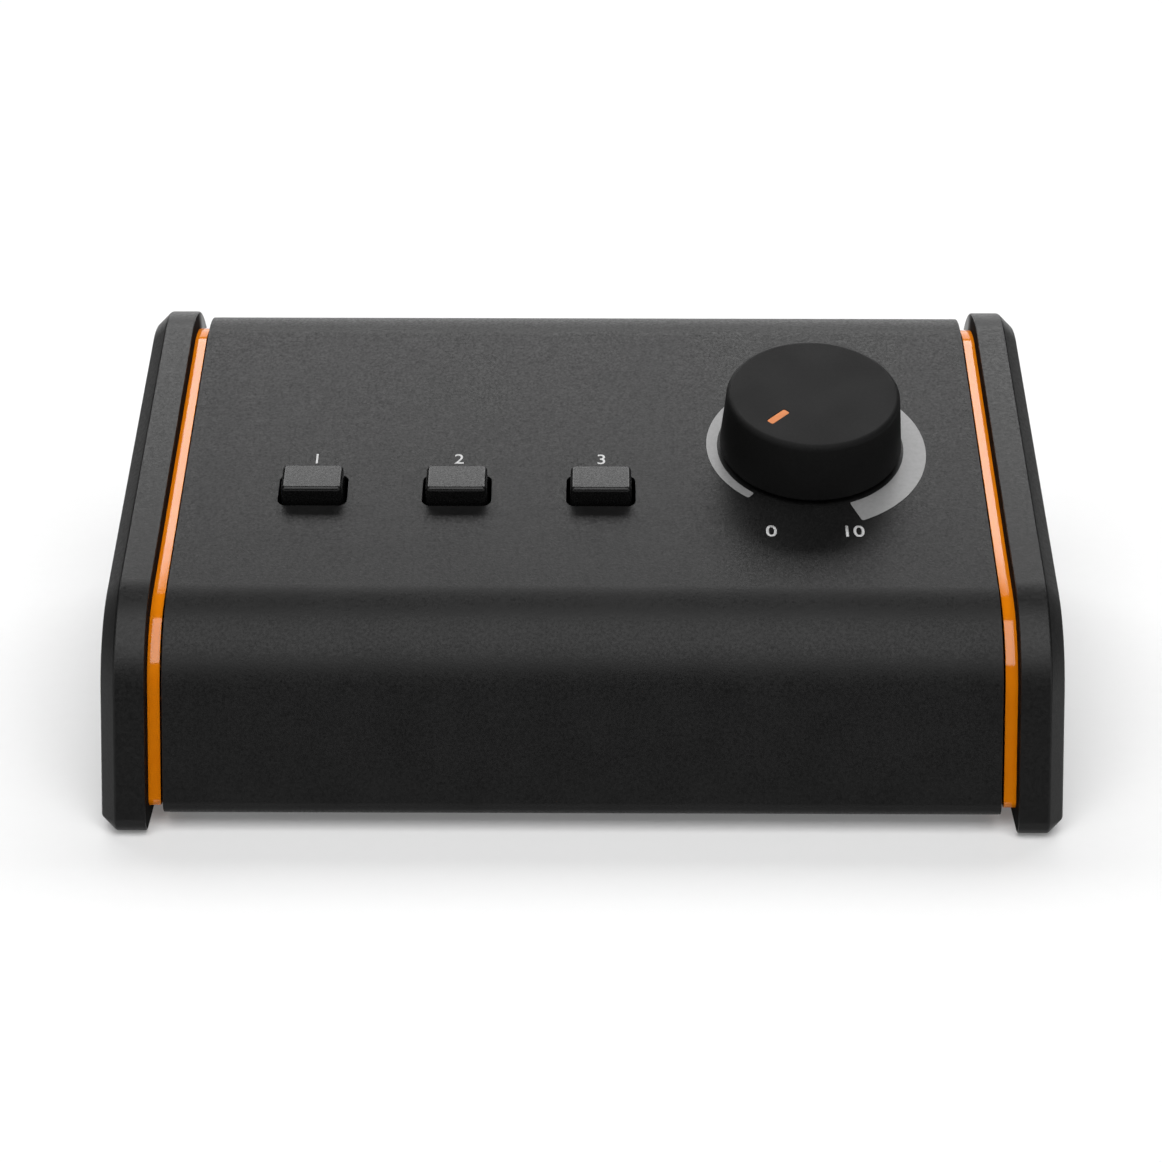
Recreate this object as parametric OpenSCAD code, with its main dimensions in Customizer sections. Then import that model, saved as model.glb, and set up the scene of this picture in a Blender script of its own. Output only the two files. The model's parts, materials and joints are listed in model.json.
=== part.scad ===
// Desktop studio monitor controller: a wedge-shaped folded steel case held
// between two side cheeks, with three push switches and a volume dial on the
// sloping panel and the sockets on a recessed rear panel.
// X runs left to right, Y front to back, Z up from the desk. Millimetres.

/* [Body] */
// Overall width over both side cheeks
body_w = 142; // [140:1:156]
// Overall depth of the side cheeks
body_d = 98; // [96:1:110]
// Height of the side cheeks' highest point above the desk
body_h = 50.4; // [49.4:0.2:56]
// Slope of the control panel, in degrees
panel_slope = 16; // [14:0.5:17]
// Backward lean of the front face, in degrees
front_lean = 20; // [18:0.5:22]
// Outline radius where the front face turns into the control panel
front_bend_r = 20; // [16:1:22]
// Outline radius at the top of the rear
rear_bend_r = 15; // [13:1:16]

/* [Side cheeks] */
// Thickness of a side cheek
cheek_t = 6.8; // [5.6:0.2:8]
// Chamfer around the outer edge of a side cheek
cheek_chamfer = 2.3; // [1:0.1:3]
// Radius of a side cheek's two bottom corners
cheek_corner_r = 2; // [1:0.5:4]
// Gap between the side cheeks and the desk
stand_h = 0.4; // [0.2:0.1:1]
// Thickness of the coloured trim plate inside each cheek
trim_t = 1.9; // [1.2:0.1:2.4]
// How far the trim plate's edge lies inside the cheek's outline
trim_inset = 2.8; // [2:0.1:4]

/* [Folded case] */
// Thickness of the steel sheet
sheet = 1.2; // [1:0.1:1.5]
// How far the cover lies inside the cheek's outline
cover_inset = 1; // [0.5:0.1:1.6]
// Dark gap between the cover's edge and the trim plate
cover_gap = 0.5; // [0.3:0.1:0.8]
// Height of the cover's lower edge above the side cheeks' lower edge
cover_lift = 2.2; // [1.8:0.1:3]
// Depth of the lip folded in under the front face
lip_depth = 13; // [11:1:16]
// Outside radius of that fold
lip_bend_r = 1.8; // [1.5:0.1:3]

/* [Push switches] */
// Distance of the first push switch from the cover's left edge
button_from_side = 20.1; // [17:0.1:22]
// Distance between the push switches
button_pitch = 22.2; // [18:0.1:24]
// Distance of the push switches in front of the rear bend, along the slope
button_back = 39.7; // [38:0.1:42]
// Width of a button's opening
button_hole_w = 10.6; // [10:0.1:12]
// Depth of a button's opening, along the slope
button_hole_d = 7.2; // [7:0.1:8]
// Gap all round between a button and its opening
button_gap = 0.5; // [0.4:0.05:0.6]
// How far a button stands out of the panel
button_proud = 2.8; // [2:0.1:4]
// Travel of a button
button_travel = 2; // [1.5:0.1:2.2]

/* [Volume dial] */
// Distance of the dial from the cover's right edge
dial_from_side = 26.3; // [24:0.1:28]
// Distance of the dial in front of the rear bend, along the slope
dial_back = 28.8; // [27:0.1:31]
// Diameter of the dial at its base
dial_d = 28.4; // [26:0.2:30]
// Diameter of the dial at its top
dial_top_d = 26.9; // [25:0.1:28]
// Height of the dial's top above the panel
dial_h = 10.9; // [10.5:0.1:13]
// Gap under the dial
dial_gap = 0.8; // [0.5:0.1:1.2]
// Rounding of the dial's top edge
dial_edge_r = 1.6; // [0.5:0.1:2]
// Direction of the pointer at rest, clockwise from straight up the panel
pointer_angle = -135.5; // [-150:0.5:-120]
// Diameter of the dial's shaft
shaft_d = 6; // [6, 6.35]

/* [Rear sockets] */
// Height of the sockets' middle above the desk
socket_z = 20.6; // [20.6:0.1:21.2]
// Gap between the outermost sockets and the tray's side walls
socket_margin = 2.5; // [1:0.1:4]
// Bore of an input jack, for a 6.35 mm plug
jack_bore_d = 6.4; // [6.4:0.05:6.6]
// Bore of the small input jack, for a 3.5 mm plug
aux_bore_d = 3.6; // [3.55:0.05:3.7]
// Bore of an output socket
socket_bore_d = 19.2; // [19:0.1:19.4]

/* [Boards and fasteners] */
// Thickness of the circuit boards
board_t = 1.6; // [1.2:0.2:1.8]
// Depth of the control board's top face below the panel's face
board_drop = 14; // [13.8:0.1:14.4]
// Nominal diameter of every screw
screw_d = 3; // [3]
// Diameter of a rubber foot
foot_d = 10; // [8:0.5:12]

/* [Hidden] */
$fn = 64;

// Levels and places that follow from the sizes above
front_y = -body_d / 2;
rear_y = body_d / 2;
cheek_in_x = body_w / 2 - cheek_t;
trim_in_x = cheek_in_x - trim_t;
cover_x = trim_in_x - cover_gap;
cover_floor = stand_h + cover_lift;
tray_floor = cover_floor + sheet;
tray_top = tray_floor + sheet;
tray_set_in = 1.6;
wall_x = cover_x - tray_set_in;
tray_half_w = wall_x - sheet;
tray_bend_r = 2;
tray_slip = 0.1;
trim_lift = 0.5;
boss_r = 4.5;
lip_end_y = front_y + lip_depth;

// Outline edges: the direction of each edge's outward normal in the side view,
// and its distance from the origin along that normal
top_dir = 90 + panel_slope;
front_dir = 180 - front_lean;
rear_arc = [rear_y - rear_bend_r, body_h - rear_bend_r];
foot_arc = [front_y + cheek_corner_r, stand_h + cheek_corner_r];
top_k = rear_arc[0] * cos(top_dir) + rear_arc[1] * sin(top_dir) + rear_bend_r;
front_k = foot_arc[0] * cos(front_dir) + foot_arc[1] * sin(front_dir) + cheek_corner_r;

// The panel frame starts where the cover's flat face meets the rear bend
cover_rear_r = rear_bend_r - cover_inset;
panel_y = rear_arc[0] + cover_rear_r * cos(top_dir);
panel_z = rear_arc[1] + cover_rear_r * sin(top_dir);

// Fasteners
hole_r = screw_d / 2 + 0.1;
shank_r = screw_d / 2 - 0.05;
head_r = screw_d;
head_h = 1.7;
head_slip = 0.1;
hex_r = 1.15;
hex_depth = 1.2;
pan_head_h = 1.6;
slot_w = 0.6;
slot_l = 3.2;
slot_depth = 0.9;
press_nut_r = 2.8;
press_nut_h = 2;
screw_end = 0.3;
standoff_d = 5;
stud_in = 5;

// Buttons and their switches, from the panel's face down
first_button_x = -cover_x + button_from_side;
button_hole_r = 1.3;
cap_w = button_hole_w - 2 * button_gap;
cap_d = button_hole_d - 2 * button_gap;
cap_corner_r = 0.8;
cap_bevel = 0.45;
cap_draft = 0.15;
cap_skirt = 3.2;
cap_wall = 1.1;
cap_core = 0.8;
stem_w = 3.2;
stem_top = 0.6;
stem_gap = 0.3;
switch_w = 8;
switch_gap = 1.7;
switch_top = -(cap_skirt + button_travel + switch_gap);
switch_floor = 1;
switch_floor_w = -board_drop + switch_floor;
stem_rest = 0.6;
stem_foot = switch_floor_w + button_travel + stem_rest;
spring_wire_d = 0.3;
spring_turns = 7;
spring_r = 0.9;
spring_bore_r = 1.25;
spring_in_stem = 4;
spring_top = stem_foot + spring_in_stem;

// Dial and its potentiometer, from the panel's face down
dial_x = cover_x - dial_from_side;
dial_wall = 1.8;
dial_roof = dial_h - dial_wall;
dial_rib = 1.2;
insert_wall = 1.5;
insert_d = shaft_d + 2 * insert_wall;
pot_washer_h = 0.5;
pot_washer_d = 12;
pot_nut_h = 2;
pot_nut_d = 11.5;
bushing_d = 7;
bushing_slip = 0.1;
bushing_proud = 2.7;
bushing_top = pot_washer_h + pot_nut_h + bushing_proud;
insert_gap = 0.6;
insert_bottom = bushing_top + insert_gap;
shaft_gap = 0.05;
shaft_end_gap = 0.2;
shaft_top = dial_roof - shaft_end_gap;
pot_can_d = 17;
pot_wall = 1.2;
pot_base = 1;
pot_roof = 2;
pot_lift = 1.4;
pot_floor = -board_drop + pot_lift;
pot_lug = [1, 0.8];
pot_lug_pitch = 5;
wiper_w = pot_floor + 3;
wiper_d = 12;
wiper_t = 2;
wiper_arm = [2, 1.2];
wiper_gap = 0.3;
pointer_w = 1.4;
pointer_in = 6;
pointer_out = 10.2;
pointer_depth = 1;

// Rear panel: low enough for its top edge to pass inside the cover's bend
flange_w = 26;
flange_h = 31;
flange_t = 2;
flange_corner_r = 2.5;
flange_gap = 0.7;
rear_panel_t = 1.5;
rear_panel_slip = 0.07;
rear_side_slip = 0.2;
rear_tuck = 1;
rear_foot_d = 8.5;
rear_foot_in = 3;
cover_rear_z = socket_z + flange_h / 2 + flange_gap;
rear_panel_top = cover_rear_z + rear_tuck;
rear_bend_in_r = rear_bend_r - cover_inset - sheet;
rear_bend_rise = max(rear_panel_top - rear_arc[1], 0);
rear_panel_y = rear_arc[0] - rear_panel_slip
    + sqrt(pow(rear_bend_in_r, 2) - pow(rear_bend_rise, 2));
rear_panel_in_y = rear_panel_y - rear_panel_t;

// Sockets on the rear panel, with equal gaps between them from wall to wall
jack_w = 15;
jack_l = 29.5;
jack_above = 6.4;
jack_floor = 1.5;
jack_nut_d = 15;
bushing_r = 4.7;
aux_w = 12;
aux_l = 14;
aux_above = 5.4;
aux_floor = 2.5;
aux_nut_d = 8.4;
aux_bushing_r = 3;
nut_h = 1.9;
aux_nut_h = 1.7;
bushing_end = 0.5;
nut_slip = 0.05;
socket_gap = (2 * (tray_half_w - socket_margin - jack_w - flange_w) - aux_w) / 4;
input_x = [for (i = [0, 1]) -tray_half_w + socket_margin + jack_w / 2
                            + i * (jack_w + socket_gap)];
aux_x = input_x[1] + (jack_w + aux_w) / 2 + socket_gap;
output_x = [for (i = [1, 0]) tray_half_w - socket_margin - flange_w / 2
                             - i * (flange_w + socket_gap)];
jack_end_y = rear_panel_in_y - jack_l;
aux_end_y = rear_panel_in_y - aux_l;

// Output sockets
barrel_r = 11.6;
barrel_l = 19;
barrel_slip = 0.2;
barrel_end_y = rear_panel_in_y - barrel_l;
barrel_core_r = 6.5;
insert_step = 2;
insert_y = barrel_end_y + insert_step;
insert_t = 4;
latch_w = 4.4;
latch_l = 8;
latch_wall = 0.7;
pin_d = 2.4;
pin_circle_r = 4.2;
pin_angles = [-90, 15, 165];
pin_reach = 11.9;
pin_foot = 0.4;
pin_tip = [1, 0.6];
pin_tail = 0.8;
pin_tail_step = 1;
socket_screw_x = 9.5;
socket_screw_z = 12;
socket_screw_l = 8;

// Connector board
io_top = socket_z - barrel_r;
io_floor = io_top - board_t;
io_side_gap = 4.2;
io_half_w = wall_x - io_side_gap;
io_rear_gap = 10;
io_d = 47;
io_rear_y = rear_panel_in_y - io_rear_gap;
io_front_y = io_rear_y - io_d;
io_stud_pitch = 17;
io_bite = [1.4, 0.4];

// Control board, which ends in front of the jacks' housings
control_side_gap = 8.2;
control_half_w = wall_x - control_side_gap;
control_front = -56;
control_jack_gap = 0.5;
control_under = board_drop + board_t;
control_rear = (jack_end_y - control_jack_gap - panel_y - control_under * sin(panel_slope))
    / cos(panel_slope);
control_stud_in = 4.8;
control_bite = 4.4;
control_hole = 7;
resistor_from_side = 16;
resistor_from_front = 6;
resistor_pitch = 8.2;
resistor_l = 6;
resistor_r = 1.15;
resistor_lead = 0.6;
resistor_lift = 0.2;

// Flat link between the boards
header = [14, 6, 5];
header_v = -30;
header_y = io_front_y + header[1];
link_w = 10;
link_t = 0.9;
link_reach = [7, 5];

// Brackets under the cover, in the panel frame
bracket_w = 11;
bracket_v = [-24, -4];
bracket_drop = 15;
bracket_screw_up = 6;

// Places of the fixings: [y, z] on the sides, [x, y] underneath
side_screw_front = 17;
side_screw_rear = 11;
side_screw_up = 9;
cover_screw_v = (bracket_v[0] + bracket_v[1]) / 2;
cover_screw_w = bracket_screw_up - bracket_drop;
side_screws = [
    [front_y + side_screw_front, tray_top + side_screw_up],
    [rear_y - side_screw_rear, tray_top + side_screw_up],
    [panel_y + cover_screw_v * cos(panel_slope) - cover_screw_w * sin(panel_slope),
     panel_z + cover_screw_v * sin(panel_slope) + cover_screw_w * cos(panel_slope)]
];
side_screw_l = body_w / 2 - tray_half_w + press_nut_h;
lip_screw_side = 20.2;
lip_screw_in = 4;
rear_screw_side = 10.2;
rear_screw_in = 4;
foot_side = 8.2;
foot_front = 22;
foot_rear = 20;
foot_taper = 0.6;
lip_screws = [for (side = [-1, 1]) [side * (wall_x - lip_screw_side), lip_end_y - lip_screw_in]];
rear_screws = [for (side = [-1, 1]) [side * (wall_x - rear_screw_side),
                                     rear_panel_in_y - rear_screw_in]];
feet_at = [for (side = [-1, 1], y = [front_y + foot_front, rear_y - foot_rear])
               [side * (wall_x - foot_side), y]];
control_studs = [for (side = [-1, 1], v = [control_front + stud_in, control_rear - control_stud_in])
                     [side * (control_half_w - stud_in), v]];
io_studs = [for (side = [-1, 1], i = [0, 1])
                [side * (io_half_w - stud_in), io_front_y + stud_in + i * io_stud_pitch]];

// How far a cut runs past the face that it opens
past = 1;

// ---- shared shapes ------------------------------------------------------

// Point where two edges, each moved in by r, cross
function meet(a, b, r) =
    let (turn = sin(b[0] - a[0]))
    [((a[1] - r) * sin(b[0]) - (b[1] - r) * sin(a[0])) / turn,
     ((b[1] - r) * cos(a[0]) - (a[1] - r) * cos(b[0])) / turn];

// Round corner of radius r between two edges, as points
function corner(a, b, r) =
    let (c = meet(a, b, r), n = ceil((b[0] - a[0]) / (r > 3 ? 4 : 15)))
    [for (i = [0:n]) let (t = a[0] + (b[0] - a[0]) * i / n) c + r * [cos(t), sin(t)]];

// The wedge seen from the side, moved in by d, with its floor at floor_z
function wedge(d, floor_z, low_r) =
    let (bottom = [-90, -floor_z], rear = [0, rear_y - d],
         top = [top_dir, top_k - d], front = [front_dir, front_k - d],
         r = max(low_r, 0.2))
    concat(corner(bottom, rear, r), corner(rear, top, rear_bend_r - d),
           corner(top, front, front_bend_r - d), corner(front, bottom + [360, 0], r));

// Rectangle w by h about the origin, with round corners of radius r
function round_rect(w, h, r) =
    [for (q = [0:3], i = [0:6])
        let (t = 90 * q + 15 * i)
        [(q == 0 || q == 3 ? 1 : -1) * (w / 2 - r) + r * cos(t),
         (q < 2 ? 1 : -1) * (h / 2 - r) + r * sin(t)]];

// The two ends of a width w about c
function span(c, w) = [c - w / 2, c + w / 2];

// A side view drawn as [y, z] and given a thickness from x0 to x1
module side_plate(x0, x1) {
    translate([x0, 0, 0])
        rotate([90, 0, 90])
            linear_extrude(x1 - x0) children();
}

module rod_x(x0, x1, at, r) {
    translate([x0, at[0], at[1]]) rotate([0, 90, 0]) cylinder(h = x1 - x0, r = r);
}

// A round bar along Y, through [x, z]
module rod_y(y0, y1, at, r) {
    translate([at[0], y0, at[1]]) rotate([-90, 0, 0]) cylinder(h = y1 - y0, r = r);
}

// A place on the sloping panel: u to the right, v up the slope, w off its face
module on_panel(u = 0, v = 0, w = 0) {
    translate([0, panel_y, panel_z])
        rotate([panel_slope, 0, 0])
            translate([u, v, w]) children();
}

module at_button(i) {
    on_panel(first_button_x + i * button_pitch, -button_back) children();
}

module at_dial() {
    on_panel(dial_x, -dial_back) children();
}

module block(x, y, z) {
    translate([x[0], y[0], z[0]]) cube([x[1] - x[0], y[1] - y[0], z[1] - z[0]]);
}

// Countersunk socket screw, its head flush at z = 0 and its shank downwards
module sunk_screw(length) {
    difference() {
        union() {
            translate([0, 0, -head_h]) cylinder(h = head_h, r1 = shank_r, r2 = head_r - head_slip);
            translate([0, 0, -length]) cylinder(h = length - head_h, r = shank_r);
        }
        translate([0, 0, -hex_depth]) cylinder(h = hex_depth + past, r = hex_r, $fn = 6);
    }
}

// Low pan-head screw, with its head above z = 0 and its shank downwards
module pan_screw(length) {
    difference() {
        union() {
            cylinder(h = pan_head_h, r = head_r - screw_end);
            translate([0, 0, -length]) cylinder(h = length, r = shank_r);
        }
        for (turn = [0, 90])
            rotate(turn)
                translate([-slot_l / 2, -slot_w / 2, pan_head_h - slot_depth])
                    cube([slot_l, slot_w, slot_depth + past]);
    }
}

module press_nut() {
    difference() {
        cylinder(h = press_nut_h, r = press_nut_r);
        translate([0, 0, -past]) cylinder(h = press_nut_h + 2 * past, r = screw_d / 2);
    }
}

// ---- folded steel case --------------------------------------------------

module top_cover() {
    color("#4b4c4e")
    difference() {
        side_plate(-cover_x, cover_x)
            difference() {
                polygon(wedge(cover_inset, cover_floor, lip_bend_r));
                polygon(wedge(cover_inset + sheet, tray_floor, lip_bend_r - sheet));
                translate([lip_end_y, 0]) square([body_d, tray_floor + past]);
                translate([rear_arc[0], 0]) square([body_d, cover_rear_z]);
            }
        for (i = [0:2])
            at_button(i)
                translate([0, 0, -2 * sheet])
                    linear_extrude(4 * sheet)
                        polygon(round_rect(button_hole_w, button_hole_d, button_hole_r));
        at_dial()
            translate([0, 0, -2 * sheet]) cylinder(h = 4 * sheet, d = bushing_d + 3 * bushing_slip);
        for (at = lip_screws)
            translate([at[0], at[1], 0]) cylinder(h = tray_floor + past, r = hole_r);
    }
}

// Angle welded under the cover, which a cheek screw holds to the tray
module cover_bracket() {
    difference() {
        on_panel() {
            block([cover_x - bracket_w, wall_x + sheet], bracket_v, [-2 * sheet, -sheet]);
            block([wall_x, wall_x + sheet], bracket_v, [-bracket_drop, -sheet]);
        }
        rod_x(wall_x - past, wall_x + sheet + past, side_screws[2], hole_r);
    }
}

module left_cover_bracket() {
    color("#8b8d90") mirror([1, 0, 0]) cover_bracket();
}

module right_cover_bracket() {
    color("#8b8d90") cover_bracket();
}

// Tray folded up at both sides
module base_tray() {
    tray_inset = cover_inset + 2 * sheet + tray_slip;
    color("#77797c")
    difference() {
        intersection() {
            translate([0, rear_panel_in_y - 2 * tray_slip, 0])
                rotate([90, 0, 0])
                    linear_extrude(body_d)
                        difference() {
                            translate([0, tray_floor + body_h / 2])
                                polygon(round_rect(2 * wall_x, body_h, tray_bend_r));
                            translate([0, tray_top + body_h / 2])
                                polygon(round_rect(2 * tray_half_w, body_h, tray_bend_r - sheet));
                        }
            side_plate(-body_w / 2, body_w / 2)
                polygon(wedge(tray_inset, tray_floor - past, 1));
        }
        for (at = side_screws) rod_x(-wall_x - past, wall_x + past, at, hole_r);
        for (at = concat(lip_screws, rear_screws, io_studs))
            translate([at[0], at[1], 0]) cylinder(h = tray_top + past, r = hole_r);
    }
}

module rear_panel() {
    half_w = cover_x - rear_side_slip;
    foot_x = wall_x - rear_foot_in;
    y0 = rear_panel_in_y - past;
    y1 = rear_panel_y + past;
    color("#3f4042")
    difference() {
        union() {
            block([-half_w, half_w], [rear_panel_in_y, rear_panel_y], [tray_top, rear_panel_top]);
            block([-foot_x, foot_x], [rear_panel_in_y - rear_foot_d, rear_panel_in_y],
                  [tray_top, tray_top + rear_panel_t]);
        }
        for (x = output_x) {
            rod_y(y0, y1, [x, socket_z], barrel_r + barrel_slip);
            for (s = [-1, 1])
                rod_y(y0, y1, [x + s * socket_screw_x, socket_z + s * socket_screw_z],
                      hole_r);
        }
        for (x = input_x) rod_y(y0, y1, [x, socket_z], bushing_r + 3 * nut_slip);
        rod_y(y0, y1, [aux_x, socket_z], aux_bushing_r + 3 * nut_slip);
        for (at = rear_screws)
            translate([at[0], at[1], tray_top - past])
                cylinder(h = rear_panel_t + 2 * past, r = hole_r);
    }
}

// ---- side cheeks and trim -----------------------------------------------

module cheek() {
    chamfer_floor = stand_h + cheek_chamfer;
    difference() {
        hull() {
            side_plate(cheek_in_x, body_w / 2 - cheek_chamfer)
                polygon(wedge(0, stand_h, cheek_corner_r));
            side_plate(cheek_in_x, body_w / 2)
                polygon(wedge(cheek_chamfer, chamfer_floor, cheek_corner_r - cheek_chamfer));
        }
        for (at = side_screws) {
            rod_x(cheek_in_x - past, body_w / 2 + past, at, hole_r);
            translate([body_w / 2 - head_h, at[0], at[1]])
                rotate([0, 90, 0]) cylinder(h = head_h, r1 = hole_r, r2 = head_r + head_slip);
        }
    }
}

module left_cheek() {
    color("#232324") mirror([1, 0, 0]) cheek();
}

module right_cheek() {
    color("#232324") cheek();
}

// Coloured plate with raised bosses that space the cheek off the case
module trim() {
    difference() {
        union() {
            side_plate(trim_in_x, cheek_in_x)
                polygon(wedge(trim_inset, cover_floor + trim_lift, 1));
            for (i = [0:2])
                rod_x(i < 2 ? wall_x : wall_x + sheet, cheek_in_x, side_screws[i], boss_r);
        }
        for (at = side_screws) rod_x(wall_x - past, cheek_in_x + past, at, hole_r);
    }
}

module left_trim() {
    color("#d97c12") mirror([1, 0, 0]) trim();
}

module right_trim() {
    color("#d97c12") trim();
}

module cheek_screws() {
    color("#2b2b2c")
    for (side = [-1, 1], at = side_screws)
        translate([side * body_w / 2, at[0], at[1]])
            rotate([0, side * 90, 0]) sunk_screw(side_screw_l);
}

module tray_press_nuts() {
    color("#b9bbbd") {
        for (side = [-1, 1], at = side_screws)
            translate([side * tray_half_w, at[0], at[1]]) rotate([0, -side * 90, 0]) press_nut();
        for (at = lip_screws) translate([at[0], at[1], tray_top]) press_nut();
        for (at = rear_screws) translate([at[0], at[1], tray_top + rear_panel_t]) press_nut();
    }
}

module base_screws() {
    color("#2b2b2c") {
        for (at = lip_screws)
            translate([at[0], at[1], cover_floor])
                rotate([180, 0, 0]) pan_screw(2 * sheet + press_nut_h + screw_end);
        for (at = rear_screws)
            translate([at[0], at[1], tray_floor])
                rotate([180, 0, 0]) pan_screw(sheet + rear_panel_t + press_nut_h + screw_end);
        for (at = io_studs)
            translate([at[0], at[1], tray_floor])
                rotate([180, 0, 0]) pan_screw(sheet + io_bite[0]);
    }
}

module rubber_feet() {
    color("#1b1b1c")
    for (at = feet_at)
        translate([at[0], at[1], 0])
            cylinder(h = tray_floor, d1 = foot_d - 2 * foot_taper, d2 = foot_d);
}

// ---- control board ------------------------------------------------------

module control_board() {
    color("#1f5a3a")
    difference() {
        on_panel()
            block([-control_half_w, control_half_w], [control_front, control_rear],
                  [-control_under, -board_drop]);
        for (at = control_studs)
            on_panel(at[0], at[1], -control_under - past)
                cylinder(h = board_t + 2 * past, r = hole_r);
    }
}

module control_standoffs() {
    color("#c9a24a")
    for (at = control_studs)
        on_panel(at[0], at[1], -board_drop)
            difference() {
                cylinder(h = board_drop - sheet, d = standoff_d);
                translate([0, 0, -past]) cylinder(h = control_hole + past, r = screw_d / 2);
            }
}

module control_screws() {
    color("#b9bbbd")
    for (at = control_studs)
        on_panel(at[0], at[1], -control_under)
            rotate([180, 0, 0]) pan_screw(board_t + control_bite);
}

// Fixed resistors of the dim and mono networks, lying across the board
module resistors() {
    color("#b8a27a")
    for (i = [0:7])
        on_panel(-control_half_w + resistor_from_side + i * resistor_pitch,
                 control_front + resistor_from_front, -board_drop) {
            translate([0, -resistor_l / 2, resistor_r + resistor_lift])
                rotate([-90, 0, 0]) cylinder(h = resistor_l, r = resistor_r);
            for (s = [-1, 1])
                translate([-resistor_lead / 2, (s * resistor_l - resistor_lead) / 2, 0])
                    cube([resistor_lead, resistor_lead, resistor_r + resistor_lift]);
        }
}

// ---- connector board ----------------------------------------------------

module io_board() {
    color("#1f5a3a")
    difference() {
        block([-io_half_w, io_half_w], [io_front_y, io_rear_y], [io_floor, io_top]);
        for (at = io_studs)
            translate([at[0], at[1], io_floor - past]) cylinder(h = board_t + 2 * past, r = hole_r);
    }
}

module io_standoffs() {
    color("#c9a24a")
    for (at = io_studs)
        translate([at[0], at[1], tray_top])
            difference() {
                cylinder(h = io_floor - tray_top, d = standoff_d);
                translate([0, 0, -past])
                    cylinder(h = io_floor - tray_top + 2 * past, r = screw_d / 2);
            }
}

module io_screws() {
    color("#b9bbbd")
    for (at = io_studs)
        translate([at[0], at[1], io_top]) pan_screw(board_t + io_bite[1]);
}

// Sockets at both ends of the flat link between the boards
module link_headers() {
    color("#29292b") {
        on_panel(0, header_v, -control_under - header[2])
            translate([-header[0] / 2, -header[1] / 2, 0]) cube(header);
        translate([-header[0] / 2, header_y - header[1] / 2, io_top]) cube(header);
    }
}

// Flat link: a smooth curve between the two header faces, seen from the side
link_drop = control_under + header[2];
link_start = [panel_y + header_v * cos(panel_slope) + link_drop * sin(panel_slope),
              panel_z + header_v * sin(panel_slope) - link_drop * cos(panel_slope)];
link_end = [header_y, io_top + header[2]];
link_bows = [link_start + link_reach[0] * [sin(panel_slope), -cos(panel_slope)],
             link_end + [0, link_reach[1]]];

function link_at(t) =
    pow(1 - t, 3) * link_start + 3 * t * pow(1 - t, 2) * link_bows[0]
    + 3 * t * t * (1 - t) * link_bows[1] + pow(t, 3) * link_end;

function link_side(t, side) =
    let (step = link_at(t + 0.001) - link_at(t - 0.001))
    link_at(t) + side * link_t / 2 * [step[1], -step[0]] / norm(step);

module link_ribbon() {
    color("#8d8f93")
    side_plate(-link_w / 2, link_w / 2)
        polygon(concat([for (i = [0:12]) link_side(i / 12, 1)],
                       [for (i = [12:-1:0]) link_side(i / 12, -1)]));
}

// ---- rear connectors ----------------------------------------------------

// Housing on the connector board, with a threaded bushing through the panel
module jack(x, w, above, end_y, nose_r, nose_y, bore_r, bore_end_y) {
    difference() {
        union() {
            block([x - w / 2, x + w / 2], [end_y, rear_panel_in_y], [io_top, socket_z + above]);
            rod_y(rear_panel_in_y - past, nose_y, [x, socket_z], nose_r);
        }
        rod_y(bore_end_y, nose_y + past, [x, socket_z], bore_r);
    }
}

module input_jack(i) {
    jack(input_x[i], jack_w, jack_above, jack_end_y, bushing_r,
         rear_panel_y + nut_h + bushing_end, jack_bore_d / 2, jack_end_y + jack_floor);
}

module left_input_jack() {
    color("#3a3a3c") input_jack(0);
}

module right_input_jack() {
    color("#3a3a3c") input_jack(1);
}

module aux_input_jack() {
    color("#3a3a3c")
    jack(aux_x, aux_w, aux_above, aux_end_y, aux_bushing_r,
         rear_panel_y + aux_nut_h + bushing_end, aux_bore_d / 2, aux_end_y + aux_floor);
}

module jack_nuts() {
    color("#a9abad") {
        for (x = input_x)
            translate([x, rear_panel_y, socket_z])
                rotate([-90, 0, 0])
                    difference() {
                        cylinder(h = nut_h, d = jack_nut_d, $fn = 6);
                        translate([0, 0, -past])
                            cylinder(h = nut_h + 2 * past, r = bushing_r + nut_slip);
                    }
        translate([aux_x, rear_panel_y, socket_z])
            rotate([-90, 0, 0])
                difference() {
                    cylinder(h = aux_nut_h, d = aux_nut_d);
                    translate([0, 0, -past])
                        cylinder(h = aux_nut_h + 2 * past, r = aux_bushing_r + nut_slip);
                }
    }
}

// Three-pole output socket: flange outside the panel, barrel behind it
module output_socket(i) {
    x = output_x[i];
    face_y = rear_panel_y + flange_t;
    difference() {
        union() {
            translate([x, face_y, socket_z])
                rotate([90, 0, 0])
                    linear_extrude(flange_t) polygon(round_rect(flange_w, flange_h, flange_corner_r));
            rod_y(barrel_end_y, rear_panel_y + past, [x, socket_z], barrel_r);
        }
        rod_y(insert_y, face_y + past, [x, socket_z], socket_bore_d / 2);
        rod_y(barrel_end_y - past, insert_y + past, [x, socket_z], barrel_core_r);
        block(span(x, latch_w), [face_y - latch_l, face_y + past],
              [socket_z, socket_z + barrel_r - latch_wall]);
        for (s = [-1, 1]) {
            at = [x + s * socket_screw_x, socket_z + s * socket_screw_z];
            rod_y(rear_panel_y - past, face_y + past, at, hole_r);
            translate([at[0], face_y - head_h, at[1]])
                rotate([-90, 0, 0]) cylinder(h = head_h, r1 = hole_r, r2 = head_r + head_slip);
        }
    }
}

module left_output_socket() {
    color("#2e2f31") output_socket(0);
}

module right_output_socket() {
    color("#2e2f31") output_socket(1);
}

function pin_at(x, a) = [x + pin_circle_r * cos(a), socket_z + pin_circle_r * sin(a)];

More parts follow.
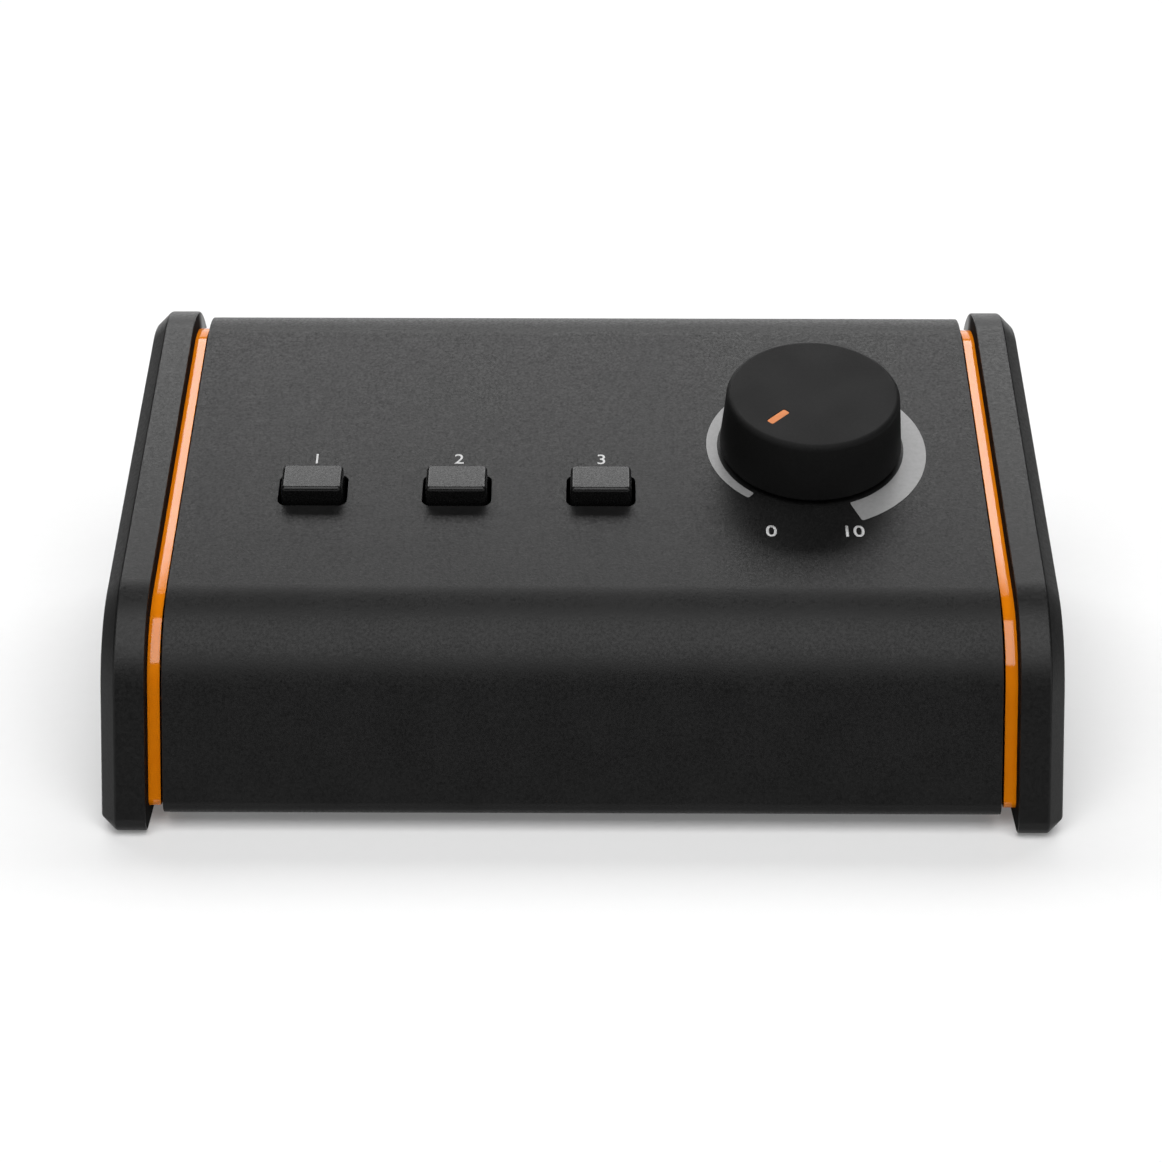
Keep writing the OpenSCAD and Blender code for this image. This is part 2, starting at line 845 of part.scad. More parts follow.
module output_inserts() {
    color("#1c1c1d")
    for (x = output_x)
        difference() {
            rod_y(insert_y, insert_y + insert_t, [x, socket_z], socket_bore_d / 2);
            for (a = pin_angles)
                rod_y(insert_y - past, insert_y + insert_t + past, pin_at(x, a), pin_d / 2);
        }
}

// Contact pins with a tail down to the connector board
module output_pins() {
    tail_y = barrel_end_y - pin_tail_step;
    shoulder_y = insert_y + insert_t + pin_reach - pin_tip[0];
    color("#cfcfd0")
    for (x = output_x, a = pin_angles) {
        at = pin_at(x, a);
        rod_y(insert_y - pin_foot, shoulder_y, at, pin_d / 2);
        translate([at[0], shoulder_y, at[1]])
            rotate([-90, 0, 0]) cylinder(h = pin_tip[0], r1 = pin_d / 2, r2 = pin_d / 2 - pin_tip[1]);
        block(span(at[0], pin_tail), [tail_y, insert_y], span(at[1], pin_tail));
        block(span(at[0], pin_tail), [tail_y, tail_y + pin_tail], [io_top, at[1]]);
    }
}

module output_screws() {
    color("#2b2b2c")
    for (x = output_x, s = [-1, 1])
        translate([x + s * socket_screw_x, rear_panel_y + flange_t,
                   socket_z + s * socket_screw_z])
            rotate([-90, 0, 0]) sunk_screw(socket_screw_l);
}

// ---- potentiometer and dial ---------------------------------------------

module pot_body() {
    cavity_floor = pot_floor + pot_base;
    cavity_roof = -sheet - pot_roof;
    color("#9c9ea1")
    at_dial()
        difference() {
            union() {
                translate([0, 0, pot_floor]) cylinder(h = -sheet - pot_floor, d = pot_can_d);
                translate([0, 0, -2 * sheet]) cylinder(h = bushing_top + 2 * sheet, d = bushing_d);
                for (i = [-1:1], s = [-1, 1])
                    translate([i * pot_lug_pitch - pot_lug[0] / 2,
                               s * pot_lug_pitch - pot_lug[1] / 2, -board_drop])
                        cube([pot_lug[0], pot_lug[1], pot_lift + pot_base]);
            }
            translate([0, 0, cavity_floor])
                cylinder(h = cavity_roof - cavity_floor, d = pot_can_d - 2 * pot_wall);
            translate([0, 0, cavity_roof - past])
                cylinder(h = bushing_top - cavity_roof + 2 * past, d = shaft_d + 2 * shaft_gap);
        }
}

module ring(outer_d, inner_d, h) {
    difference() {
        cylinder(h = h, d = outer_d);
        translate([0, 0, -past]) cylinder(h = h + 2 * past, d = inner_d);
    }
}

module pot_washer() {
    color("#a9abad") at_dial() ring(pot_washer_d, bushing_d + bushing_slip, pot_washer_h);
}

module pot_nut() {
    color("#b9bbbd")
    at_dial()
        translate([0, 0, pot_washer_h])
            difference() {
                cylinder(h = pot_nut_h, d = pot_nut_d, $fn = 6);
                translate([0, 0, -past])
                    cylinder(h = pot_nut_h + 2 * past, d = bushing_d + bushing_slip);
            }
}

module pot_shaft() {
    color("#c3c5c7")
    at_dial() translate([0, 0, wiper_w]) cylinder(h = shaft_top - wiper_w, d = shaft_d);
}

// Wiper carrier on the shaft, with one contact arm
module pot_wiper() {
    reach = pot_can_d / 2 - pot_wall - wiper_gap;
    color("#d8d2c2")
    at_dial()
        translate([0, 0, wiper_w])
            difference() {
                union() {
                    cylinder(h = wiper_t, d = wiper_d);
                    translate([0, -wiper_arm[0] / 2, 0]) cube([reach, wiper_arm[0], wiper_arm[1]]);
                }
                translate([0, 0, -past]) cylinder(h = wiper_t + 2 * past, d = shaft_d);
            }
}

// Turned outline of the dial: tapered side, rounded top edge, hollow inside
module dial() {
    top_r = dial_top_d / 2;
    sink = 0.2;
    base_r = dial_d / 2;
    hub_r = insert_d / 2 + insert_wall;
    hub_h = dial_roof + sink - insert_bottom;
    color("#1d1d1e")
    at_dial()
        difference() {
            union() {
                rotate_extrude($fn = 96)
                    polygon(concat(
                        [[base_r - dial_wall, dial_gap], [base_r, dial_gap]],
                        [for (i = [0:8])
                            let (a = 90 * i / 8)
                            [top_r - dial_edge_r + dial_edge_r * cos(a),
                             dial_h - dial_edge_r + dial_edge_r * sin(a)]],
                        [[0, dial_h], [0, dial_roof], [top_r - dial_wall, dial_roof]]));
                translate([0, 0, insert_bottom]) ring(2 * hub_r, insert_d, hub_h);
                for (turn = [0:60:300])
                    rotate(turn + 30)
                        translate([hub_r - sink, -dial_rib / 2, insert_bottom])
                            cube([base_r - dial_wall - hub_r + sink, dial_rib, hub_h]);
            }
            dial_groove();
        }
}

// Slot across the dial's top, from near its middle to near its edge
module dial_groove(top = dial_h + past) {
    rotate(90 - pointer_angle)
        translate([0, 0, dial_h - pointer_depth])
            linear_extrude(top - dial_h + pointer_depth)
                translate([(pointer_in + pointer_out) / 2, 0])
                    polygon(round_rect(pointer_out - pointer_in, pointer_w, pointer_w / 4));
}

module dial_pointer() {
    color("#f08a3c") at_dial() dial_groove(dial_h);
}

module dial_insert() {
    color("#c9a24a")
    at_dial()
        difference() {
            translate([0, 0, insert_bottom])
                cylinder(h = dial_roof - insert_bottom, d = insert_d);
            translate([0, 0, insert_bottom - past])
                cylinder(h = shaft_top - insert_bottom + past, d = shaft_d);
        }
}

// ---- push switches ------------------------------------------------------

module button_cap(i) {
    skin = 0.01;
    neck_w = cap_w - 2 * cap_draft;
    neck_d = cap_d - 2 * cap_draft;
    neck_r = cap_corner_r - cap_draft;
    core_h = button_proud - cap_wall + cap_skirt;
    color("#161617")
    at_button(i)
        difference() {
            union() {
                difference() {
                    hull() {
                        translate([0, 0, -cap_skirt])
                            linear_extrude(cap_skirt)
                                polygon(round_rect(cap_w, cap_d, cap_corner_r));
                        translate([0, 0, button_proud - cap_bevel - skin])
                            linear_extrude(skin) polygon(round_rect(neck_w, neck_d, neck_r));
                        translate([0, 0, button_proud - skin])
                            linear_extrude(skin)
                                polygon(round_rect(neck_w - 2 * cap_bevel, neck_d - 2 * cap_bevel,
                                                   neck_r - cap_bevel / 2));
                    }
                    translate([0, 0, core_h / 2 - cap_skirt - past / 2])
                        cube([cap_w - 2 * cap_wall, cap_d - 2 * cap_wall, core_h + past],
                             center = true);
                }
                translate([0, 0, core_h / 2 - cap_skirt])
                    cube([stem_w + 2 * cap_core, cap_d - cap_wall, core_h], center = true);
            }
            translate([-stem_w / 2, -stem_w / 2, -cap_skirt - past])
                cube([stem_w, stem_w, stem_top + cap_skirt + past]);
        }
}

module left_button() {
    button_cap(0);
}

module middle_button() {
    button_cap(1);
}

module right_button() {
    button_cap(2);
}

// Switch housing on the control board, open at the top for the stem
module switch_body(i) {
    color("#2c2c2e")
    at_button(i)
        difference() {
            translate([0, 0, (switch_top - board_drop) / 2])
                cube([switch_w, switch_w, board_drop + switch_top], center = true);
            translate([-stem_w / 2 - stem_gap, -stem_w / 2 - stem_gap, switch_floor_w])
                cube([stem_w + 2 * stem_gap, stem_w + 2 * stem_gap, board_drop]);
        }
}

module left_switch() {
    switch_body(0);
}

module middle_switch() {
    switch_body(1);
}

module right_switch() {
    switch_body(2);
}

module switch_stem(i) {
    color("#e4e2da")
    at_button(i)
        difference() {
            translate([-stem_w / 2, -stem_w / 2, stem_foot])
                cube([stem_w, stem_w, stem_top - stem_foot]);
            translate([0, 0, stem_foot - past])
                cylinder(h = spring_in_stem + past, r = spring_bore_r);
        }
}

module left_switch_stem() {
    switch_stem(0);
}

module middle_switch_stem() {
    switch_stem(1);
}

module right_switch_stem() {
    switch_stem(2);
}

// Return spring from the switch's floor up into the stem: a round wire
// swept along a helix, ring by ring
module switch_spring(i) {
    sides = 6;
    rings = 10 * spring_turns;
    rise = spring_top - switch_floor_w - spring_wire_d;
    points = [
        for (k = [0:rings], j = [0:sides - 1])
            let (turn = 360 * spring_turns * k / rings, t = 360 * j / sides,
                 r = spring_r + spring_wire_d / 2 * cos(t))
            [r * cos(turn), r * sin(turn),
             rise * k / rings + spring_wire_d / 2 * (1 + sin(t))]
    ];
    walls = [
        for (k = [0:rings - 1], j = [0:sides - 1])
            let (a = k * sides + j, b = k * sides + (j + 1) % sides)
            [a, b, b + sides, a + sides]
    ];
    ends = [[for (j = [sides - 1:-1:0]) j], [for (j = [0:sides - 1]) rings * sides + j]];
    color("#b9bbbd")
    at_button(i)
        translate([0, 0, switch_floor_w]) polyhedron(points, concat(walls, ends));
}

module left_switch_spring() {
    switch_spring(0);
}

module middle_switch_spring() {
    switch_spring(1);
}

module right_switch_spring() {
    switch_spring(2);
}

top_cover();
left_cover_bracket();
right_cover_bracket();
base_tray();
rear_panel();
left_cheek();
right_cheek();
left_trim();
right_trim();
cheek_screws();
tray_press_nuts();
base_screws();
rubber_feet();
control_board();
control_standoffs();
control_screws();
resistors();
io_board();
io_standoffs();
io_screws();
link_headers();
link_ribbon();
left_input_jack();
right_input_jack();
aux_input_jack();
jack_nuts();
left_output_socket();
right_output_socket();
output_inserts();
output_pins();
output_screws();
pot_body();
pot_washer();
pot_nut();
pot_shaft();
pot_wiper();
dial();
dial_insert();
dial_pointer();
left_button();
middle_button();
right_button();
left_switch();
middle_switch();
right_switch();
left_switch_stem();
middle_switch_stem();
right_switch_stem();
left_switch_spring();
middle_switch_spring();
right_switch_spring();
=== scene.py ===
# %% [markdown]
# # A desktop studio monitor controller
#
# The real object is a small wedge of folded steel that stands on a desk. Two thick black side
# cheeks hold it, each with a thin orange plate inside, and its sloping panel carries three push
# buttons and a big volume dial. The sockets are at the rear.
#
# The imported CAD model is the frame: its nodes say where everything is and what moves. Pieces
# that the eye rests on are modelled again here with softer edges, and each CAD node that stays
# gets a finish of its own. Everything is in metres, with X to the right, Y to the rear and Z up.

# %% Load the frame
import json
import math

import bpy
from mathutils import Matrix, Vector

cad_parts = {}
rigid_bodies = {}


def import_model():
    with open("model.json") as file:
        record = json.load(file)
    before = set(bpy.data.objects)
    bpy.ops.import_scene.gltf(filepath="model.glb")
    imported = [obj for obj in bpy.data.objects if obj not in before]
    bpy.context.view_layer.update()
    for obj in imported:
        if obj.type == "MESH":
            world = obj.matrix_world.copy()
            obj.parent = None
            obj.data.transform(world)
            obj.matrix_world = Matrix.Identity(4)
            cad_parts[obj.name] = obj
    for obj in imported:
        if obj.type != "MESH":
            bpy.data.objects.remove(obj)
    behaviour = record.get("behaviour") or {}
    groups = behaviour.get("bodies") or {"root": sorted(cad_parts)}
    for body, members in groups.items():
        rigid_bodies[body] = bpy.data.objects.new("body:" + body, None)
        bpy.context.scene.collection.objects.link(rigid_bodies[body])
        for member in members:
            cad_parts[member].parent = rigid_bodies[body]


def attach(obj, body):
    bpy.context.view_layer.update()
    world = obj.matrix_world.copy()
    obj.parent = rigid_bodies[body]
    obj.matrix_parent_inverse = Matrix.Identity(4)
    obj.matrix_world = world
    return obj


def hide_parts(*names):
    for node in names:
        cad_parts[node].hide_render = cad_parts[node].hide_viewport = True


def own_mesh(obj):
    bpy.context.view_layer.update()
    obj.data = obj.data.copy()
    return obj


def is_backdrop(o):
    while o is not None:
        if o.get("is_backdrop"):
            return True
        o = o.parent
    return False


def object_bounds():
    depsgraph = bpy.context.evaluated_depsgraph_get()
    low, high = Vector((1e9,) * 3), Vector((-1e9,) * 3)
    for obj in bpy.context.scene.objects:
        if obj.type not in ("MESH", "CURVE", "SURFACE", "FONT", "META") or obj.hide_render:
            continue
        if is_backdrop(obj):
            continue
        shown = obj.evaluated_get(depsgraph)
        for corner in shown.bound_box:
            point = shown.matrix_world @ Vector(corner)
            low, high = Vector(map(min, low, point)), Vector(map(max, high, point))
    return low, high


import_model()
cad_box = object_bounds()

# %% [markdown]
# ## Sizes
#
# The side view of the case is a wedge with four round corners. Its edges are kept as the CAD
# model keeps them: the direction in which each edge faces, and how far it lies from the origin.
# That way any smaller outline, such as the cover's or the trim's, is the same wedge moved in.
# All lengths below are in millimetres, and `MM` turns them into metres.

# %% Sizes of the case
MM = 0.001
BODY_W = 142.0
BODY_D = 98.0
BODY_H = 50.4
PANEL_SLOPE = 16.0
FRONT_LEAN = 20.0
FRONT_BEND_R = 20.0
REAR_BEND_R = 15.0
FOOT_R = 2.0
STAND_H = 0.4
CHEEK_T = 6.8
CHEEK_CHAMFER = 2.3
TRIM_T = 1.9
TRIM_INSET = 2.8
COVER_INSET = 1.0
COVER_GAP = 0.5
COVER_LIFT = 2.2
SHEET = 1.2
TRAY_SET_IN = 1.6

FRONT_Y = -BODY_D / 2
REAR_Y = BODY_D / 2
TOP_DIR = 90 + PANEL_SLOPE
FRONT_DIR = 180 - FRONT_LEAN
CHEEK_IN_X = BODY_W / 2 - CHEEK_T
TRIM_IN_X = CHEEK_IN_X - TRIM_T
COVER_X = TRIM_IN_X - COVER_GAP
COVER_FLOOR = STAND_H + COVER_LIFT
WALL_X = COVER_X - TRAY_SET_IN


def cosd(angle):
    return math.cos(math.radians(angle))


def sind(angle):
    return math.sin(math.radians(angle))


rear_arc = (REAR_Y - REAR_BEND_R, BODY_H - REAR_BEND_R)
foot_arc = (FRONT_Y + FOOT_R, STAND_H + FOOT_R)
top_k = rear_arc[0] * cosd(TOP_DIR) + rear_arc[1] * sind(TOP_DIR) + REAR_BEND_R
front_k = foot_arc[0] * cosd(FRONT_DIR) + foot_arc[1] * sind(FRONT_DIR) + FOOT_R
print("side view: top edge at", round(top_k, 3), "mm, front edge at", round(front_k, 3), "mm")

# %% [markdown]
# ## The panel's own axes
#
# Buttons, dial and print sit on the sloping panel, so it is easier to place them in the panel's
# own directions: `u` to the right, `v` up the slope and `w` straight off its face. One matrix
# carries a place on the panel into the frame.

# %% Axes of the sloping panel
cover_rear_r = REAR_BEND_R - COVER_INSET
panel_origin = Vector((0, rear_arc[0] + cover_rear_r * cosd(TOP_DIR),
                       rear_arc[1] + cover_rear_r * sind(TOP_DIR))) * MM
PANEL = Matrix.Translation(panel_origin) @ Matrix.Rotation(math.radians(PANEL_SLOPE), 4, "X")

BUTTONS = ["left", "middle", "right"]
BUTTON_U = [-41.7, -19.5, 2.7]
BUTTON_V = -39.7
DIAL_U = 35.5
DIAL_V = -28.8


def on_panel(u, v, w=0.0):
    """The matrix of a place on the panel, in metres."""
    return PANEL @ Matrix.Translation(Vector((u, v, w)) * MM)


print("panel origin", [round(c / MM, 3) for c in panel_origin], "mm")

# %% [markdown]
# ## Small tools for modelling by hand
#
# A mesh operator acts on whatever is selected, so each step starts by choosing its parts in
# code, by where they are or which way they face. The helpers below pick faces, edges or
# vertices, apply modifiers, put a piece in its place, and print what was made.

# %% Modelling helpers
def deselect():
    """Nothing is selected afterwards, so an operator can't touch another object."""
    for thing in bpy.context.view_layer.objects.selected:
        thing.select_set(False)


def activate(obj):
    deselect()
    obj.select_set(True)
    bpy.context.view_layer.objects.active = obj


def edit(obj, kind="VERT"):
    activate(obj)
    bpy.ops.object.mode_set(mode="EDIT")
    bpy.ops.mesh.select_mode(type=kind)


def done():
    bpy.ops.object.mode_set(mode="OBJECT")


def pick(obj, kind, test):
    """Selects the faces, edges or vertices that pass the test and stays in edit mode."""
    edit(obj, kind)
    bpy.ops.mesh.select_all(action="DESELECT")
    done()
    mesh = obj.data
    points = [v.co.copy() for v in mesh.vertices]
    if kind == "FACE":
        for face in mesh.polygons:
            face.select = bool(test(face.center, face.normal))
    elif kind == "EDGE":
        for edge in mesh.edges:
            edge.select = bool(test(points[edge.vertices[0]], points[edge.vertices[1]]))
    else:
        for vertex in mesh.vertices:
            vertex.select = bool(test(vertex.co))
    bpy.ops.object.mode_set(mode="EDIT")


def merge_doubles():
    """Points of the mesh in edit mode that lie on each other become one."""
    bpy.ops.mesh.select_all(action="SELECT")
    bpy.ops.mesh.remove_doubles(threshold=0.002 * MM)


def turn_out():
    """Every face of the mesh in edit mode is made to point outwards."""
    merge_doubles()
    bpy.ops.mesh.normals_make_consistent(inside=False)


def use_modifier(obj, kind, **settings):
    """Adds a modifier and applies it at once."""
    activate(obj)
    modifier = obj.modifiers.new(kind.lower(), kind)
    for name, value in settings.items():
        setattr(modifier, name, value)
    bpy.ops.object.modifier_apply(modifier=modifier.name)


def smooth(obj, angle=38):
    """Smooth shading that leaves flat faces flat, because the bigger face counts for more."""
    activate(obj)
    bpy.ops.object.shade_smooth_by_angle(angle=math.radians(angle))
    use_modifier(obj, "WEIGHTED_NORMAL", keep_sharp=True)


def round_edges(obj, width, angle=30):
    """A small round on every edge sharper than the angle."""
    use_modifier(obj, "BEVEL", width=width * MM, segments=2, limit_method="ANGLE",
                 angle_limit=math.radians(angle), harden_normals=False)


def soften(obj, width, angle=30):
    """Round edges, and smooth shading between them."""
    round_edges(obj, width, angle)
    smooth(obj)


def cut(obj, cutter):
    """Takes the cutter's shape out of the piece, and throws the cutter away."""
    use_modifier(obj, "BOOLEAN", operation="DIFFERENCE", solver="EXACT", object=cutter)
    bpy.data.objects.remove(cutter)


def place(obj, matrix):
    """Puts a mesh made at the origin in its place, and leaves its object at the origin."""
    obj.matrix_world = matrix
    activate(obj)
    bpy.ops.object.transform_apply(location=True, rotation=True, scale=True)


def named(name):
    """Names the newest object, which an operator leaves active."""
    obj = bpy.context.view_layer.objects.active
    obj.name = name
    obj.data.name = name
    return obj


def report(obj):
    size = [round(d / MM, 2) for d in obj.dimensions]
    print(obj.name, "-", len(obj.data.polygons), "faces,", size, "mm")


# %% [markdown]
# ## Drawing a side view
#
# A draughtsman draws the wedge with a ruler and compasses. The same is done here: one vertex is
# run along each straight edge, and spun round the centre of each corner. The centre of a round
# corner is where its two edges cross once both are moved in by its radius.

# %% The wedge, drawn edge by edge
def corner_centre(a, b, r):
    """Where two edges, each given as (direction, distance) and moved in by r, cross."""
    turn = sind(b[0] - a[0])
    return (((a[1] - r) * sind(b[0]) - (b[1] - r) * sind(a[0])) / turn,
            ((b[1] - r) * cosd(a[0]) - (a[1] - r) * cosd(b[0])) / turn)


def start_point(name, x, y, z):
    """Starts a mesh as one vertex, a tiny plane merged to its centre, and stays in edit mode."""
    deselect()
    bpy.ops.mesh.primitive_plane_add(size=MM)
    obj = named(name)
    edit(obj)
    bpy.ops.mesh.merge(type="CENTER")
    bpy.ops.transform.translate(value=(x * MM, y * MM, z * MM))
    return obj


def run(start, end):
    """Draws a straight edge on from the selected point, by the way from start to end."""
    bpy.ops.mesh.extrude_vertices_move(
        TRANSFORM_OT_translate={"value": (0, (end[0] - start[0]) * MM, (end[1] - start[1]) * MM)})


def spin_about(centre, x, angle, steps):
    bpy.ops.mesh.spin(steps=steps, angle=math.radians(-angle), axis=(1, 0, 0),
                      center=(x * MM, centre[0] * MM, centre[1] * MM))


def wedge_edges(inset, floor):
    """The wedge's edges from the floor round over the top and back, as (direction, distance)."""
    return [(-90, -floor), (0, REAR_Y - inset), (TOP_DIR, top_k - inset),
            (FRONT_DIR, front_k - inset), (270, -floor)]


def wedge_face(name, x, inset, floor, foot_r):
    """The closed side view as one flat face at x, moved in by inset."""
    edges = wedge_edges(inset, floor)
    radii = [foot_r, REAR_BEND_R - inset, FRONT_BEND_R - inset, foot_r]
    steps = [8, 40, 24, 10]
    arcs = []
    for i, r in enumerate(radii):
        centre = corner_centre(edges[i], edges[i + 1], r)
        first, last = edges[i][0], edges[i + 1][0]
        start, end = [(centre[0] + r * cosd(a), centre[1] + r * sind(a)) for a in (first, last)]
        arcs.append((centre, last - first, start, end))
    obj = start_point(name, x, *arcs[0][2])
    for i, (centre, angle, start, end) in enumerate(arcs):
        spin_about(centre, x, angle, steps[i])
        run(end, arcs[(i + 1) % len(arcs)][2])
    merge_doubles()
    bpy.ops.mesh.edge_face_add()
    return obj


# %% [markdown]
# ## Side cheeks
#
# The cheeks are thick black plates with a broad 45-degree chamfer all round the outside. They
# could be a bevelled block, but a bevel round these unequal corners would bulge. Instead the
# outline is thickened, and its outer face is inset as it rises, which keeps every corner round
# the same centre. The edges are rounded before the three holes are cut, because the short edges
# round a hole would hold the bevel back. The holes are countersunk, so the heads lie flush.

# %% Side cheeks
CHEEK_EDGE = 0.25
GATHER_WITHIN, GATHERED_WITHIN, HAIR = 0.8, 0.4, 0.001
SHANK_HOLE_R = 1.6
SINK_R, SINK_LOW_R, SINK_DEPTH, SINK_PROUD = 3.4, 1.3, 2.2, 0.3
PAST = 1.0
SCREW_Z, FRONT_SCREW_IN, REAR_SCREW_IN = 14.0, 17, 11
TOP_SCREW_V, TOP_SCREW_W = -14, -9
side_screws = [
    (FRONT_Y + FRONT_SCREW_IN, SCREW_Z),
    (REAR_Y - REAR_SCREW_IN, SCREW_Z),
    tuple(c / MM for c in on_panel(0, TOP_SCREW_V, TOP_SCREW_W).translation[1:]),
]


def cone_cutter(name, x, at, depth, top_r, low_r):
    """A cone along X, wide at x and narrow depth further in, for a countersunk hole."""
    deselect()
    bpy.ops.mesh.primitive_cone_add(vertices=48, radius1=low_r * MM, radius2=top_r * MM,
                                    depth=depth * MM)
    obj = named(name)
    place(obj, Matrix.Translation(Vector((x - depth / 2, at[0], at[1])) * MM)
          @ Matrix.Rotation(math.radians(90), 4, "Y"))
    return obj


def bar(name, x0, x1, at, r):
    """A round bar along X, for a hole or a boss."""
    deselect()
    bpy.ops.mesh.primitive_cylinder_add(vertices=48, radius=r * MM, depth=(x1 - x0) * MM)
    obj = named(name)
    place(obj, Matrix.Translation(Vector(((x0 + x1) / 2, at[0], at[1])) * MM)
          @ Matrix.Rotation(math.radians(90), 4, "Y"))
    return obj


def mirrored(obj, name):
    """A copy with its own mesh, mirrored to the left side and turned right side out again."""
    activate(obj)
    bpy.ops.object.duplicate()
    copy = named(name)
    bpy.ops.object.mode_set(mode="EDIT")
    bpy.ops.mesh.select_all(action="SELECT")
    bpy.ops.transform.mirror(constraint_axis=(True, False, False), orient_type="GLOBAL",
                             center_override=(0, 0, 0))
    bpy.ops.mesh.normals_make_consistent(inside=False)
    done()
    bpy.ops.mesh.customdata_custom_splitnormals_clear()
    smooth(copy)
    return copy


def make_cheek(name):
    """The right cheek; the two short corners of its inset face are gathered to a point each."""
    straight = CHEEK_T - CHEEK_CHAMFER
    obj = wedge_face(name, CHEEK_IN_X, 0, STAND_H, FOOT_R)
    bpy.ops.mesh.select_mode(type="FACE")
    bpy.ops.mesh.extrude_region_move(TRANSFORM_OT_translate={"value": (straight * MM, 0, 0)})
    bpy.ops.mesh.inset(thickness=CHEEK_CHAMFER * MM, depth=0)
    bpy.ops.transform.translate(value=(CHEEK_CHAMFER * MM, 0, 0))
    done()
    outer_x = (BODY_W / 2 - HAIR) * MM
    edges = wedge_edges(CHEEK_CHAMFER, STAND_H + CHEEK_CHAMFER)
    for first, second in ((0, 1), (3, 4)):
        corner = Vector((0, *corner_centre(edges[first], edges[second], 0))) * MM
        pick(obj, "VERT", lambda co: co.x > outer_x
             and (co.yz - corner.yz).length < GATHER_WITHIN * MM)
        bpy.ops.mesh.merge(type="CENTER")
        done()
        pick(obj, "EDGE", lambda a, b: min((a - corner).yz.length + abs(a.x - outer_x),
                                           (b - corner).yz.length + abs(b.x - outer_x))
             < GATHERED_WITHIN * MM and abs(a.x - b.x) > MM)
        bpy.ops.mesh.mark_sharp()
        done()
    edit(obj)
    turn_out()
    done()
    round_edges(obj, CHEEK_EDGE)
    for at in side_screws:
        cut(obj, cone_cutter("sink", BODY_W / 2 + SINK_PROUD, at, SINK_DEPTH, SINK_R,
                             SINK_LOW_R))
        cut(obj, bar("shank_hole", CHEEK_IN_X - PAST, BODY_W / 2 + PAST, at, SHANK_HOLE_R))
    smooth(obj)
    return obj


right_cheek = make_cheek("side_cheek_right")
left_cheek = mirrored(right_cheek, "side_cheek_left")
for cheek, node in ((right_cheek, "right_cheek"), (left_cheek, "left_cheek")):
    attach(cheek, "case")
    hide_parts(node)
    report(cheek)

# %% [markdown]
# ## Orange trim plates
#
# Between each cheek and the case lies a thinner plate with a smaller outline, so only a bright
# edge line shows. It is a flat plate with tightly rounded edges, which is what gives the glossy
# line its sharp highlight. Round bosses on its inner side hold the case off the plate.

# %% Trim plates
TRIM_LIFT = 0.5
TRIM_FOOT_R = 1.0
TRIM_EDGE = 0.2
BOSS_R, BOSS_SUNK = 4.5, 0.5


def make_trim(name):
    """The right trim plate. Its two lower bosses meet the tray, and the upper one a bracket."""
    obj = wedge_face(name, TRIM_IN_X, TRIM_INSET, COVER_FLOOR + TRIM_LIFT, TRIM_FOOT_R)
    bpy.ops.mesh.select_mode(type="FACE")
    bpy.ops.mesh.extrude_region_move(TRANSFORM_OT_translate={"value": (TRIM_T * MM, 0, 0)})
    turn_out()
    done()
    for i, at in enumerate(side_screws):
        inner = WALL_X + (SHEET if i == 2 else 0)
        boss = bar("boss", inner, TRIM_IN_X + BOSS_SUNK, at, BOSS_R)
        use_modifier(obj, "BOOLEAN", operation="UNION", solver="EXACT", object=boss)
        bpy.data.objects.remove(boss)
        cut(obj, bar("shank_hole", inner - PAST, CHEEK_IN_X + PAST, at, SHANK_HOLE_R))
    soften(obj, TRIM_EDGE)
    return obj


right_trim = make_trim("trim_plate_right")
left_trim = mirrored(right_trim, "trim_plate_left")
for trim, node in ((right_trim, "right_trim"), (left_trim, "left_trim")):
    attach(trim, "case")
    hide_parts(node)
    report(trim)

# %% [markdown]
# ## Folded cover
#
# The cover is one sheet of steel: a lip under the front, the front face, a wide bend, the panel
# and a bend down at the rear. A press brake makes it by folding, and here a line is drawn along
# the sheet's outside, extruded to the case's width and thickened inwards. The openings for the
# buttons and the dial's bushing are punched out after that, with cutters of their own.

# %% Cover
LIP_END_Y = FRONT_Y + 13
LIP_BEND_R = 1.8
COVER_END_Z = 36.8
COVER_EDGE = 0.18
HOLE_W, HOLE_D, HOLE_R = 10.6, 7.2, 1.3
BUSHING_HOLE_R = 3.65
PUNCH_H = 8


def rounded_box(name, w, d, h, r, matrix):
    """A box with round upright edges, for a punched opening or a bar."""
    deselect()
    bpy.ops.mesh.primitive_cube_add(size=1)
    obj = named(name)
    edit(obj)
    bpy.ops.transform.resize(value=(w * MM, d * MM, h * MM))
    done()
    pick(obj, "EDGE", lambda a, b: abs(a.z - b.z) > h * MM / 2)
    bpy.ops.mesh.bevel(offset=r * MM, segments=8, profile=0.5, affect="EDGES")
    done()
    place(obj, matrix)
    return obj


